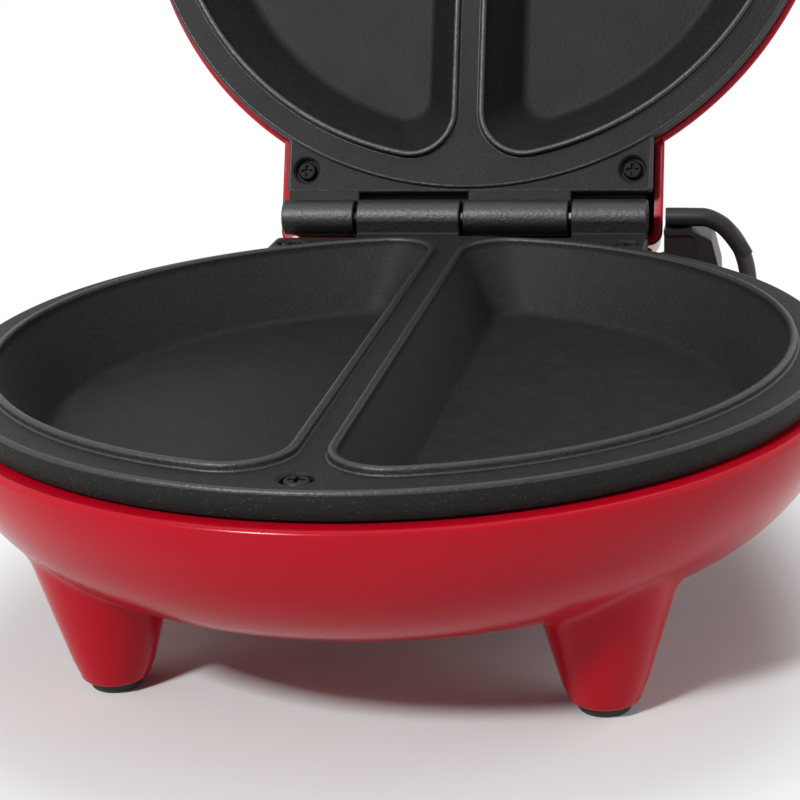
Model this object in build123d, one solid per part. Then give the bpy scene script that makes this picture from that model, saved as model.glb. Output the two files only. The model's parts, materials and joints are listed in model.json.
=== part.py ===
from build123d import *
import math
import os

os.makedirs("parts", exist_ok=True)

# ---------------------------------------------------------------------------
# Electric omelette maker, millimetres, +Z up, +Y towards the hinge, stored open.
# Each half is drawn in its own frame: the plateau of its cooking plate is z = 0,
# the body hangs towards -Z and the plate's axis is x = y = 0. The upper half is
# the same casting turned half a turn about Y and then swung open on the hinge.
# ---------------------------------------------------------------------------

# Cooking plate casting
plate_radius = 100.0
plate_wall = 2.5
plate_edge_round = 0.7
skirt_height = 6.0
skirt_wall = 3.0
skirt_draft = 0.35
cavity_radius = 90.6
cavity_half_gap = 4.75
cavity_corner = 11.5
cavity_depth = 16.4
cavity_outer_run = 11.0
cavity_divider_run = 8.8
floor_corner = 7.5
floor_round = 3.0
lip_width = 1.8
lip_height = 1.8
lip_round = 0.8

# Ears and hinge
ear_half_width = 52.4
ear_drop = 0.8
ear_root_depth = 5.0
ear_root_back = 2.5
ear_corner = 2.0
hinge_y = 108.5
hinge_height = 3.0
open_angle = 112.8
knuckle_radius = 5.0
knuckle_outer = 51.7
knuckle_split = 30.4
knuckle_gap = 1.0
notch_clearance = 2.8
pin_diameter = 3.0
pin_clearance = 0.05
pin_length = 103.0

# Plate screws: one at the front of the divider, one on each ear
front_screw_inset = 9.0
ear_screw_x = 46.8
ear_screw_y = 94.2
screw_head_diameter = 5.4
screw_head_height = 1.5
screw_shank_diameter = 3.4
screw_length = 14.0
screw_slot_width = 0.9
screw_slot_depth = 0.9
screw_clearance = 0.15
recess_diameter = 6.8
recess_depth = 1.8
recess_chamfer = 0.6
screw_pad_depth = 4.5
screw_boss_diameter = 8.4
boss_side_gap = 0.3

# Housings
housing_radius = 103.0
housing_wall = 2.5
rim_drop = 6.7
rim_round = 3.0
rim_opening_radius = 96.0
base_depth = 41.9
base_flat_radius = 67.5
base_shoulder_radius = 88.0
base_shoulder_depth = 23.0
lid_radius = 101.3
lid_rim_round = 1.5
lid_lean = 1.2
lid_depth = 40.0
lid_shoulder_radius = 70.0
lid_shoulder_depth = 24.0
base_ear_half_width = 52.9
lid_ear_half_width = 55.2
ear_inner_half_width = 50.4
ear_block_depth = 34.0
ear_block_start = 60.0
ear_block_back = 6.26
ear_block_round = 9.0
ear_block_side_round = 4.0

# Legs and feet
plateau_height = 64.0
leg_x = 53.8
leg_front_y = -54.5
leg_rear_x = 36.0
leg_rear_y = 98.0
leg_bottom_radius = 7.9
leg_slope = 0.28
leg_bottom_round = 1.2
leg_floor = 3.5
leg_front_height = 40.0
leg_rear_height = 31.0
foot_radius = 5.7
foot_height = 2.3
foot_round = 0.6
foot_stem_radius = 2.0
foot_stem_length = 3.0
fit_clearance = 0.05

# Heating elements and what holds them
element_diameter = 6.5
element_radius = 55.0
element_gap_angle = 60.0
terminal_diameter = 4.0
terminal_length = 14.0
clamp_angles = (35.0, 145.0, 215.0, 325.0)
clamp_thickness = 1.0
clamp_width = 8.0
clamp_flange = 5.0
clamp_clearance = 0.1
post_x = 32.0
post_y = 24.0
post_diameter = 8.0
post_end_depth = 28.0
pan_radius = 64.0
pan_thickness = 0.8
pan_rim_height = 3.5
pan_screw_head_diameter = 6.0
pan_screw_head_height = 1.8
pan_screw_diameter = 3.0
pan_screw_length = 8.0
thermostat_x = 32.0
thermostat_radius = 8.0
thermostat_height = 5.0
thermostat_pin_width = 3.0
thermostat_pin_length = 5.0
thermostat_pin_thickness = 0.8
fuse_diameter = 4.0
fuse_length = 12.0
fuse_lead_diameter = 1.0
fuse_lead_length = 6.0

# Wiring inside each half
block_length = 24.0
block_width = 12.0
block_height = 10.0
block_y = 96.0
block_screw_diameter = 3.5
block_screw_height = 1.0
block_screw_spacing = 12.0
wire_diameter = 2.6
wire_bend = 3.0

# Handle on the lid's front
handle_width = 74.0
handle_reach = 35.7
handle_thickness = 13.0
handle_depth = 13.5
handle_inset = 20.0
handle_tip_bow = 9.0
handle_corner = 12.0
handle_round = 4.0
handle_boss_radius = 5.0
handle_seat_gap = 0.5
handle_neck_width = 52.0
handle_screw_spacing = 30.0
handle_screw_diameter = 3.4
handle_screw_length = 16.0
handle_screw_head_diameter = 6.4
handle_screw_head_height = 1.8

# Indicator lights near the lid's front
light_spacing = 22.0
light_y = -72.0
lens_radius = 4.5
lens_top = 1.2
lens_flange_radius = 6.0
lens_flange_thickness = 1.2
lamp_radius = 2.2
lamp_length = 2.8
lamp_bracket_thickness = 1.5
lamp_bracket_width = 12.0
lamp_post_spacing = 44.0
lamp_post_radius = 3.0

# Cord block beside the hinge and the strain relief in it
cord_block_inner_x = 56.3
cord_block_top_x = 63.5
cord_block_slope_x = 69.3
cord_block_outer_x = 72.5
cord_block_top_z = 0.4
cord_block_slope_z = -2.4
cord_block_mid_z = -11.0
cord_block_bottom_z = -31.0
cord_block_foot_top_z = -10.5
cord_block_front_y = 104.0
cord_block_back_y = 121.0
cord_block_round = 1.5
cord_block_panel_depth = 1.5
cord_block_panel_rib = 6.0
cord_block_panel_top_z = -0.8
cord_block_screw_y = 108.5
cord_block_screw_zs = (-19.5, -27.5)
cord_block_screw_diameter = 3.0
cord_block_screw_head_diameter = 5.5
cord_block_screw_head_height = 1.5
relief_y = 109.0
relief_root_x = 60.0
relief_root_radius = 2.8
relief_root_depth = 14.0
relief_sleeve_x = 56.6
relief_start_radius = 2.55
relief_end_radius = 2.4
relief_end_x = 64.5

# Mains cord: a round two-core lead, 0.8 m long
cord_diameter = 4.6
coil_x = 22.0
coil_y = 165.0
coil_mid_radius = 25.0
coil_turns_across = 2
coil_turns_high = 2
cord_route = [
    (64.5, 109.0, 67.0),
    (68.4, 109.0, 67.0),
    (74.2, 109.0, 63.4),
    (78.3, 109.0, 56.2),
    (79.7, 109.2, 46.0),
    (80.2, 109.8, 34.0),
    (79.8, 112.7, 21.0),
    (78.8, 120.5, 10.0),
    (77.0, 132.0, 4.0),
    (74.0, 146.0, 2.4),
    (68.0, 163.0, 2.35),
    (57.0, 178.0, 2.35),
    (42.0, 188.5, 2.35),
    (30.0, 191.9, 2.35),
    (22.0, 192.3, 2.35),
]
tail_route = [
    (-5.3, 165.0, 6.9),
    (-5.6, 157.0, 6.6),
    (-9.0, 144.5, 4.6),
    (-18.0, 134.5, 3.4),
    (-30.5, 129.8, 4.4),
    (-42.0, 129.0, 7.5),
    (-50.0, 129.0, 7.5),
]
cord_tie_width = 8.0
cord_tie_thickness = 0.9
cord_tie_slack = 0.5
cord_tie_angle = 120.0
plug_length = 26.0
plug_width = 22.0
plug_thickness = 15.0
plug_round = 4.0
plug_neck_length = 10.0
plug_neck_radius = 4.2
blade_spacing = 12.7
blade_width = 6.3
blade_thickness = 1.5
blade_length = 17.0

# Worked out from the sizes above
floor_gap = cavity_half_gap + cavity_divider_run
floor_radius = cavity_radius - cavity_outer_run
floor_under = cavity_depth + plate_wall
element_z = -floor_under - element_diameter / 2
ear_block_end = hinge_y + ear_block_back
base_shape = (housing_radius, rim_round, 0, base_depth, base_flat_radius, base_shoulder_radius,
              base_shoulder_depth)
lid_shape = (lid_radius, lid_rim_round, lid_lean, lid_depth, 0, lid_shoulder_radius, lid_shoulder_depth)
wall_slope = math.atan2(cavity_outer_run, cavity_depth)
wall_offset = plate_wall / math.cos(wall_slope)
floor_offset = wall_offset - plate_wall * math.tan(wall_slope)
notch_y = hinge_y - knuckle_radius - notch_clearance
knuckle_spans = (
    (-knuckle_split + knuckle_gap / 2, -knuckle_gap / 2),
    (knuckle_split + knuckle_gap / 2, knuckle_outer),
)
front_screw_y = front_screw_inset - (plate_radius + housing_radius) / 2
screw_places = (
    (0.0, front_screw_y, 0.0),
    (-ear_screw_x, ear_screw_y, -ear_drop),
    (ear_screw_x, ear_screw_y, -ear_drop),
)


# ---------------------------------------------------------------------------
# Helpers
# ---------------------------------------------------------------------------

def block(x0, x1, y0, y1, z0, z1):
    """Box between two corners."""
    box = Box(x1 - x0, y1 - y0, z1 - z0)
    return Pos((x0 + x1) / 2, (y0 + y1) / 2, (z0 + z1) / 2) * box


def rod(radius, start, end):
    """Round bar from one point to another."""
    axis = Vector(*end) - Vector(*start)
    return Solid.make_cylinder(radius, axis.length, Plane(origin=start, z_dir=axis))


def tube_along(points, diameter, radii):
    """Round tube of straight runs joined by tangent arcs."""
    path = FilletPolyline(*points, radius=radii)
    start = Plane(origin=path @ 0, z_dir=path % 0)
    return sweep(start * Circle(diameter / 2), path=path)


def corner_radii(points):
    """Arc at each inner point: 0.45 of its shorter run over the tangent of half its turn."""
    radii = []
    for before, here, after in zip(points, points[1:], points[2:]):
        run_in = Vector(*here) - Vector(*before)
        run_out = Vector(*after) - Vector(*here)
        half_turn = math.radians(run_in.get_angle(run_out)) / 2
        radii.append(0.45 * min(run_in.length, run_out.length) / math.tan(half_turn))
    return radii


def both_sides(part):
    """A piece and its mirror image across the divider."""
    return part + mirror(part, about=Plane.YZ)


def d_outline(gap, radius, corner, z):
    """Half-round outline on the +X side: straight at x = gap, round corners, arc about the axis."""
    reach = radius - corner
    centre_x = gap + corner
    centre_y = math.sqrt(reach ** 2 - centre_x ** 2)
    spread = radius / reach
    toward = (math.atan2(centre_y, centre_x) + math.pi) / 2
    mid_x = centre_x + corner * math.cos(toward)
    mid_y = centre_y + corner * math.sin(toward)
    side_low, side_high = (gap, -centre_y), (gap, centre_y)
    arc_high = (centre_x * spread, centre_y * spread)
    arc_low = (centre_x * spread, -centre_y * spread)
    edges = [
        Line(side_low, side_high),
        ThreePointArc(side_high, (mid_x, mid_y), arc_high),
        ThreePointArc(arc_high, (radius, 0), arc_low),
        ThreePointArc(arc_low, (mid_x, -mid_y), side_low),
    ]
    return Pos(0, 0, z) * Face(Wire(edges))


def opened(part):
    """From a half's own frame to the open lid's place above the lower half."""
    turned = Pos(0, 0, 2 * hinge_height) * Rot(0, 180, 0) * part
    swing = Pos(0, hinge_y, hinge_height) * Rot(-open_angle, 0, 0) * Pos(0, -hinge_y, -hinge_height)
    return swing * turned


# ---------------------------------------------------------------------------
# Cooking plate: one casting, used twice
# ---------------------------------------------------------------------------

def cooking_plate():
    rim = plate_radius
    low = rim - skirt_draft
    profile = Wire([
        Line((0, 0, -plate_wall), (rim - skirt_wall, 0, -plate_wall)),
        Line((rim - skirt_wall, 0, -plate_wall), (rim - skirt_wall, 0, -skirt_height)),
        Line((rim - skirt_wall, 0, -skirt_height), (low, 0, -skirt_height)),
        Line((low, 0, -skirt_height), (rim, 0, -skirt_height / 2)),
        Line((rim, 0, -skirt_height / 2), (low, 0, -plate_edge_round)),
        ThreePointArc(
            (low, 0, -plate_edge_round),
            (low - plate_edge_round * (1 - math.sqrt(0.5)), 0, -plate_edge_round * (1 - math.sqrt(0.5))),
            (low - plate_edge_round, 0, 0),
        ),
        Line((low - plate_edge_round, 0, 0), (0, 0, 0)),
        Line((0, 0, 0), (0, 0, -plate_wall)),
    ])
    plate = revolve(Face(profile), Axis.Z)

    # the ear behind the disc, a little lower than the plateau, with its own skirt
    ear = block(-ear_half_width, ear_half_width, ear_block_start, notch_y, -skirt_height, -ear_drop)
    ear = fillet(ear.edges().filter_by(Axis.Z).group_by(Axis.Y)[-1], ear_corner)
    inside = ear_half_width - skirt_wall
    ear -= block(-inside, inside, ear_block_start, notch_y - skirt_wall, -skirt_height, -ear_drop - plate_wall)
    ear -= Pos(0, 0, -skirt_height / 2) * Cylinder(plate_radius - skirt_wall, 2 * skirt_height)
    plate += ear
    for x0, x1 in knuckle_spans:
        root_back = hinge_y + ear_root_back
        plate += block(x0, x1, notch_y - skirt_wall, root_back, -ear_root_depth, -ear_drop)
        knuckle = Rot(0, 90, 0) * Cylinder(knuckle_radius, x1 - x0)
        plate += Pos((x0 + x1) / 2, hinge_y, hinge_height) * knuckle
        plate += block(x0, x1, hinge_y - knuckle_radius, root_back, -ear_drop, hinge_height)
    bore = Rot(0, 90, 0) * Cylinder(pin_diameter / 2 + pin_clearance, 3 * ear_half_width)
    plate -= Pos(0, hinge_y, hinge_height) * bore

    # underside of the two cavities, then the cavities themselves with their lips
    shell = loft([
        d_outline(cavity_half_gap - wall_offset, cavity_radius + wall_offset, cavity_corner + wall_offset, 0),
        d_outline(floor_gap - floor_offset, floor_radius + floor_offset, floor_corner + floor_offset, -floor_under),
    ], ruled=True)
    outer = d_outline(cavity_half_gap - lip_width, cavity_radius + lip_width, cavity_corner + lip_width, 0)
    lip = extrude(outer, lip_height)
    mouth = d_outline(cavity_half_gap, cavity_radius, cavity_corner, 0)
    floor = d_outline(floor_gap, floor_radius, floor_corner, -cavity_depth)
    lip -= extrude(mouth, lip_height)
    lip = fillet(lip.faces().sort_by(Axis.Z)[-1].edges(), lip_round)
    hollow = loft([mouth, floor], ruled=True)
    hollow = fillet(hollow.faces().sort_by(Axis.Z)[0].edges(), floor_round)
    plate += both_sides(shell)
    plate -= both_sides(hollow)
    plate += both_sides(lip)

    # posts that carry the reflector pan
    for x in (-post_x, post_x):
        for y in (-post_y, post_y):
            length = post_end_depth - floor_under + plate_wall / 2
            post = Cylinder(post_diameter / 2, length)
            plate += Pos(x, y, -post_end_depth + length / 2) * post
            tap = Cylinder(pan_screw_diameter / 2 + fit_clearance, pan_screw_length)
            plate -= Pos(x, y, -post_end_depth + pan_screw_length / 2) * tap

    # screw recesses, each with a pad under it
    for x, y, top in screw_places:
        pad_top = -plate_wall / 2 + top
        pad = Cylinder(screw_boss_diameter / 2, pad_top + screw_pad_depth)
        plate += Pos(x, y, (pad_top - screw_pad_depth) / 2) * pad
        plate -= Pos(x, y, top - recess_depth / 2) * Cylinder(recess_diameter / 2, recess_depth)
        plate -= Pos(x, y, top - recess_chamfer / 2) * Cone(
            recess_diameter / 2, recess_diameter / 2 + recess_chamfer, recess_chamfer)
        plate -= Pos(x, y, -screw_pad_depth / 2) * Cylinder(
            screw_shank_diameter / 2 + screw_clearance, 2 * screw_pad_depth)
    return plate


def cross_screw(head_diameter, head_height, shank_diameter, length):
    """Pan-head screw, head up, with the underside of its head at z = 0."""
    head = Pos(0, 0, head_height / 2) * Cylinder(head_diameter / 2, head_height)
    head = fillet(head.edges().group_by(Axis.Z)[-1], head_height * 0.45)
    slot = 0.62 * head_diameter
    depth = min(screw_slot_depth, 0.6 * head_height)
    for spin in (0, 90):
        head -= Pos(0, 0, head_height - depth / 2) * Rot(0, 0, spin) * Box(slot, screw_slot_width, depth)
    shank = Pos(0, 0, -length / 2) * Cylinder(shank_diameter / 2, length)
    return head + shank


def plate_screws():
    screw = cross_screw(screw_head_diameter, screw_head_height, screw_shank_diameter, screw_length)
    return [Pos(x, y, top - recess_depth) * screw for x, y, top in screw_places]


# ---------------------------------------------------------------------------
# Housings
# ---------------------------------------------------------------------------

def round_shell(radius, edge_round, lean, depth, flat, shoulder_radius, shoulder_depth, inset):
    """Turned body of a housing, drawn in by a wall's thickness for its inside."""
    side = radius - inset
    low = -depth + inset
    start = -rim_drop - edge_round
    curve = Bezier(
        (side, 0, start), (side - lean, 0, -shoulder_depth),
        (shoulder_radius - 0.6 * inset, 0, low), (flat, 0, low))
    if inset:
        top = [
            Line((0, 0, low), (0, 0, plate_wall)),
            Line((0, 0, plate_wall), (rim_opening_radius, 0, plate_wall)),
            Line((rim_opening_radius, 0, plate_wall), (rim_opening_radius, 0, start)),
            Line((rim_opening_radius, 0, start), (side, 0, start)),
        ]
    else:
        bend = edge_round * (1 - math.sqrt(0.5))
        top = [
            Line((0, 0, low), (0, 0, -rim_drop)),
            Line((0, 0, -rim_drop), (side - edge_round, 0, -rim_drop)),
            ThreePointArc(
                (side - edge_round, 0, -rim_drop), (side - bend, 0, -rim_drop - bend), (side, 0, start)),
        ]
    closing = [Line((flat, 0, low), (0, 0, low))] if flat else []
    return revolve(Face(Wire(top + [curve] + closing)), Axis.Z)


def ear_block(half_width):
    """Rear block of a housing, under the plate's ears."""
    body = block(-half_width, half_width, ear_block_start, ear_block_end, -ear_block_depth, -rim_drop)
    back = body.faces().sort_by(Axis.Y)[-1]
    body = fillet(back.edges().filter_by(Axis.X).group_by(Axis.Z)[0], ear_block_round)
    sides = body.edges().filter_by(Axis.Z).group_by(Axis.Y)[-1]
    return fillet(sides, ear_block_side_round)


def ear_space():
    """Hollow of the rear block, open under the ears."""
    inner = ear_inner_half_width
    low = -ear_block_depth + housing_wall
    space = block(-inner, inner, ear_block_start, ear_block_end - housing_wall, low, plate_wall)
    return fillet(space.edges().filter_by(Axis.X).group_by(Axis.Z)[0].group_by(Axis.Y)[-1],
                  ear_block_round - housing_wall)


def screw_bosses(outer, space):
    """Bosses that the plate's three screws go into, joined to the walls."""
    bosses = []
    for x, y, _ in screw_places:
        boss = Pos(x, y, -rim_drop - base_depth / 2) * Cylinder(screw_boss_diameter / 2, base_depth)
        boss = boss & outer
        height = rim_drop - screw_pad_depth
        tip = Pos(x, y, -rim_drop + height / 2) * Cylinder(screw_boss_diameter / 2, height)
        inside = ear_half_width - skirt_wall - boss_side_gap
        back = notch_y - skirt_wall - boss_side_gap
        boss += tip & block(-inside, inside, -housing_radius, back, -rim_drop, 0)
        bosses.append(boss)
    return bosses


def screw_holes():
    """Holes of the plate's three screws, through the bosses and any wall beside them."""
    depth = screw_length + 1.0
    hole = Cylinder(screw_shank_diameter / 2 + fit_clearance, depth)
    return [Pos(x, y, -screw_pad_depth - depth / 2) * hole for x, y, _ in screw_places]


def leg(x, y, height):
    """Tapered leg whose foot end is rounded, in the base's frame."""
    bottom = -plateau_height + foot_height
    top_radius = leg_bottom_radius + leg_slope * height
    cone = Solid.make_cone(leg_bottom_radius, top_radius, height)
    cone = fillet(cone.edges().sort_by(Axis.Z)[0], leg_bottom_round)
    return Pos(x, y, bottom) * cone


def leg_hollow(x, y, height):
    bottom = -plateau_height + foot_height + leg_floor
    rise = height - leg_floor
    low_radius = leg_bottom_radius + leg_slope * leg_floor - housing_wall
    cone = Solid.make_cone(low_radius, low_radius + leg_slope * rise, rise)
    return Pos(x, y, bottom) * cone


leg_places = (
    ("front_left", -leg_x, leg_front_y, leg_front_height),
    ("front_right", leg_x, leg_front_y, leg_front_height),
    ("rear_left", -leg_rear_x, leg_rear_y, leg_rear_height),
    ("rear_right", leg_rear_x, leg_rear_y, leg_rear_height),
)


def base_housing():
    outer = round_shell(*base_shape, 0) + ear_block(base_ear_half_width)
    space = round_shell(*base_shape, housing_wall) + ear_space()
    body = outer
    for _, x, y, height in leg_places:
        body += leg(x, y, height)
        space += leg_hollow(x, y, height)
    body -= space
    for boss in screw_bosses(outer, space):
        body += boss
    for hole in screw_holes():
        body -= hole
    for _, x, y, _ in leg_places:
        socket = Cylinder(foot_stem_radius + fit_clearance, 2 * foot_stem_length)
        body -= Pos(x, y, -plateau_height + foot_height) * socket
    for z in cord_block_screw_zs:
        hole = rod(cord_block_screw_diameter / 2 + fit_clearance,
                   (ear_inner_half_width - 1, cord_block_screw_y, z),
                   (base_ear_half_width + 1, cord_block_screw_y, z))
        body -= hole
    lead_z = relief_z - relief_root_depth
    body -= rod(wire_diameter + 1.0, (ear_inner_half_width - 1, relief_y, lead_z),
                (base_ear_half_width + 1, relief_y, lead_z))
    return body


def lid_housing():
    outer = round_shell(*lid_shape, 0) + ear_block(lid_ear_half_width)
    space = round_shell(*lid_shape, housing_wall) + ear_space()
    body = outer - space
    for boss in screw_bosses(outer, space):
        body += boss
    for hole in screw_holes():
        body -= hole
    # bosses of the handle screws, holes of the two lenses and posts of their bracket
    for side in (-1, 1):
        x = side * handle_screw_spacing / 2
        body += rod(handle_boss_radius, (x, handle_seat_y, handle_z), (x, -lid_radius, handle_z)) & outer
        body -= rod(handle_screw_diameter / 2 + fit_clearance, (x, handle_seat_y + 1, handle_z),
                    (x, -lid_radius - 1, handle_z))
        hole = Cylinder(lens_radius + fit_clearance, lid_depth)
        body -= Pos(side * light_spacing / 2, light_y, -lid_depth) * hole
        post = Cylinder(lamp_post_radius, lid_depth)
        body += Pos(side * lamp_post_spacing / 2, light_y, bracket_z - lid_depth / 2) * post & outer
    return body


# ---------------------------------------------------------------------------
# What is inside each half
# ---------------------------------------------------------------------------

def heating_element():
    """Tubular ring under the cavity floors, open at the rear, with two terminals."""
    section = Pos(element_radius, 0, element_z) * Rot(90, 0, 0) * Circle(element_diameter / 2)
    start = 90 + element_gap_angle / 2
    ring = revolve(Rot(0, 0, start) * section, Axis.Z, 360 - element_gap_angle)
    for side in (-1, 1):
        angle = math.radians(90 - side * element_gap_angle / 2)
        foot = Vector(element_radius * math.cos(angle), element_radius * math.sin(angle), element_z)
        along = Vector(-side * math.sin(angle), side * math.cos(angle), 0)
        ring += rod(terminal_diameter / 2, foot - along * 0.5, foot + along * terminal_length)
    return ring


def element_clamps():
    """Hat-shaped straps that hold the ring up against the cavity floors."""
    inner = element_diameter / 2 + clamp_clearance
    outer = inner + clamp_thickness
    top = -floor_under
    clamps = []
    for angle in clamp_angles:
        arch = Rot(90, 0, 0) * Cylinder(outer, clamp_width)
        arch += Pos(0, 0, outer / 2) * Box(2 * outer, clamp_width, outer)
        arch += Pos(0, 0, element_diameter / 2 - clamp_thickness / 2) * Box(
            2 * (outer + clamp_flange), clamp_width, clamp_thickness)
        arch -= Rot(90, 0, 0) * Cylinder(inner, clamp_width)
        arch -= Pos(0, 0, inner) * Box(2 * inner, clamp_width, 2 * inner)
        arch &= Pos(0, 0, -outer + element_diameter / 2) * Box(
            4 * (outer + clamp_flange), clamp_width, 2 * outer)
        place = Rot(0, 0, angle) * Pos(element_radius, 0, top - element_diameter / 2)
        clamps.append(place * arch)
    return clamps


def reflector_pan():
    """Shallow bright dish under the element, on the plate's four posts."""
    z = -post_end_depth
    dish = Pos(0, 0, z - pan_thickness / 2) * Cylinder(pan_radius, pan_thickness)
    wall = Pos(0, 0, z + pan_rim_height / 2) * Cylinder(pan_radius, pan_rim_height)
    wall -= Pos(0, 0, z + pan_rim_height / 2) * Cylinder(pan_radius - pan_thickness, pan_rim_height)
    dish += wall
    for x in (-post_x, post_x):
        for y in (-post_y, post_y):
            dish -= Pos(x, y, z) * Cylinder(pan_screw_diameter / 2 + screw_clearance, 4 * pan_thickness)
    return dish


def pan_screws():
    screw = cross_screw(pan_screw_head_diameter, pan_screw_head_height,
                        pan_screw_diameter, pan_screw_length - 1.0)
    seat = -post_end_depth - pan_thickness
    flip = Rot(180, 0, 0)
    return [Pos(x, y, seat) * flip * screw for x in (-post_x, post_x) for y in (-post_y, post_y)]


def thermostat():
    """Disc thermostat against a cavity floor, with two flat pins."""
    can = Pos(thermostat_x, 0, -floor_under - thermostat_height / 2) * Cylinder(
        thermostat_radius, thermostat_height)
    can = fillet(can.edges().group_by(Axis.Z)[0], 0.8)
    for side in (-1, 1):
        y = side * thermostat_radius
        pin = Box(thermostat_pin_width, thermostat_pin_length + 2, thermostat_pin_thickness)
        can += Pos(thermostat_x, y + side * (thermostat_pin_length / 2 - 1),
                   -floor_under - thermostat_height / 2) * pin
    return can


def thermal_fuse():
    """Small fuse lying along a cavity floor."""
    z = -floor_under - fuse_diameter / 2
    half = fuse_length / 2
    body = rod(fuse_diameter / 2, (-thermostat_x, -half, z), (-thermostat_x, half, z))
    body = fillet(body.edges().filter_by(GeomType.CIRCLE), 0.6)
    reach = half + fuse_lead_length
    return body + rod(fuse_lead_diameter / 2, (-thermostat_x, -reach, z), (-thermostat_x, reach, z))


def terminal_block():
    """Ceramic connector on the rear block's floor."""
    low = -ear_block_depth + housing_wall
    half = block_length / 2
    body = block(-half, half, block_y - block_width / 2, block_y + block_width / 2, low, low + block_height)
    body = fillet(body.edges().filter_by(Axis.Z), 1.0)
    for x in (-block_screw_spacing / 2, block_screw_spacing / 2):
        head = Pos(x, block_y, low + block_height + block_screw_height / 2) * Cylinder(
            block_screw_diameter / 2, block_screw_height)
        head -= Pos(x, block_y, low + block_height + block_screw_height) * Box(
            block_screw_diameter, screw_slot_width, block_screw_height)
        body += head
    return body


def element_wires():
    """Two insulated wires from the element's terminals to the connector."""
    low = -ear_block_depth + housing_wall
    angle = math.radians(90 - element_gap_angle / 2)
    end_x = element_radius * math.cos(angle) - terminal_length * math.sin(angle)
    end_y = element_radius * math.sin(angle) + terminal_length * math.cos(angle)
    front = block_y - block_width / 2
    mid_z = low + block_height / 2
    wires = []
    for side in (-1, 1):
        points = [
            (side * end_x, end_y + terminal_diameter / 2 + 0.2, element_z),
            (side * end_x, end_y + 9.0, element_z),
            (side * block_screw_spacing / 2, front - 9.0, mid_z),
            (side * block_screw_spacing / 2, front - fit_clearance, mid_z),
        ]
        wires.append(tube_along(points, wire_diameter, wire_bend))
    return wires


# ---------------------------------------------------------------------------
# Lid fittings, in the lid half's own frame
# ---------------------------------------------------------------------------

handle_z = -rim_drop - rim_round - handle_thickness / 2
relief_z = hinge_height


def handle():
    """Moulded grip on the front of the lid."""
    tip_y = -lid_radius - handle_reach
    half = handle_width / 2
    neck = handle_neck_width / 2
    inset_y = -lid_radius + handle_inset
    outline = Wire([
        Line((-neck, inset_y), (-half, tip_y + handle_tip_bow)),
        ThreePointArc((-half, tip_y + handle_tip_bow), (0, tip_y), (half, tip_y + handle_tip_bow)),
        Line((half, tip_y + handle_tip_bow), (neck, inset_y)),
        Line((neck, inset_y), (-neck, inset_y)),
    ])
    low = handle_z - handle_thickness / 2
    grip = extrude(Pos(0, 0, low) * Face(outline), handle_thickness)
    grip = fillet(grip.edges().filter_by(Axis.Z).group_by(Axis.Y)[0], handle_corner)
    flat_faces = grip.faces().filter_by(Axis.Z)
    grip = fillet(flat_faces.edges().filter_by(lambda edge: edge.center().Y < inset_y - 1), handle_round)
    grip -= round_shell(*lid_shape, 0)
    for side in (-1, 1):
        x = side * handle_screw_spacing / 2
        grip -= rod(handle_screw_diameter / 2 + fit_clearance, (x, inset_y, handle_z),
                    (x, -lid_radius - handle_screw_length, handle_z))
    return grip


def handle_screws():
    """Screws from inside the lid into the grip."""
    screw = cross_screw(handle_screw_head_diameter, handle_screw_head_height,
                        handle_screw_diameter, handle_screw_length)
    turn = Rot(-90, 0, 0)
    return [Pos(side * handle_screw_spacing / 2, handle_seat_y, handle_z) * turn * screw for side in (-1, 1)]


def dome_at(t, inset):
    """Radius and depth of the lid's surface, or of its inside a wall's thickness in."""
    side, low = lid_radius - inset, lid_depth - inset
    shoulder = lid_shoulder_radius - 0.6 * inset
    radius = side * (1 - t) ** 3 + 3 * (side - lid_lean) * (1 - t) ** 2 * t + 3 * shoulder * (1 - t) * t ** 2
    depth = ((rim_drop + lid_rim_round) * (1 - t) ** 3 + 3 * lid_shoulder_depth * (1 - t) ** 2 * t
             + 3 * low * (1 - t) * t ** 2 + low * t ** 3)
    return radius, depth


def dome_depth_at(radius):
    """Depth of the lid's outer surface at a distance from its axis."""
    low, high = 0.0, 1.0
    for _ in range(40):
        t = (low + high) / 2
        low, high = (t, high) if dome_at(t, 0)[0] > radius else (low, t)
    return dome_at(t, 0)[1]


def dome_inside_at(depth):
    """Radius of the lid's inside at a depth."""
    low, high = 0.0, 1.0
    for _ in range(40):
        t = (low + high) / 2
        low, high = (t, high) if dome_at(t, housing_wall)[1] < depth else (low, t)
    return dome_at(t, housing_wall)[0]


handle_head_radius = handle_screw_head_diameter / 2
handle_seat_y = handle_seat_gap - math.sqrt(
    dome_inside_at(handle_head_radius - handle_z) ** 2 - (handle_screw_spacing / 2 + handle_head_radius) ** 2)
lens_edge = math.hypot(light_spacing / 2 + lens_flange_radius, light_y - lens_flange_radius)
lens_seat_z = -dome_depth_at(lens_edge) + 1.5 * housing_wall
lens_top_z = -dome_depth_at(math.hypot(light_spacing / 2, light_y + lens_radius)) - lens_top
bracket_z = lens_seat_z + lens_flange_thickness


def light_lens(side):
    """Domed lens that stands a little proud of the lid."""
    stem = Pos(0, 0, (lens_top_z + bracket_z) / 2) * Cylinder(lens_radius, bracket_z - lens_top_z)
    stem = fillet(stem.edges().group_by(Axis.Z)[0], lens_top)
    flange = Pos(0, 0, lens_seat_z + lens_flange_thickness / 2) * Cylinder(
        lens_flange_radius, lens_flange_thickness)
    return Pos(side * light_spacing / 2, light_y, 0) * (stem + flange)


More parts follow.
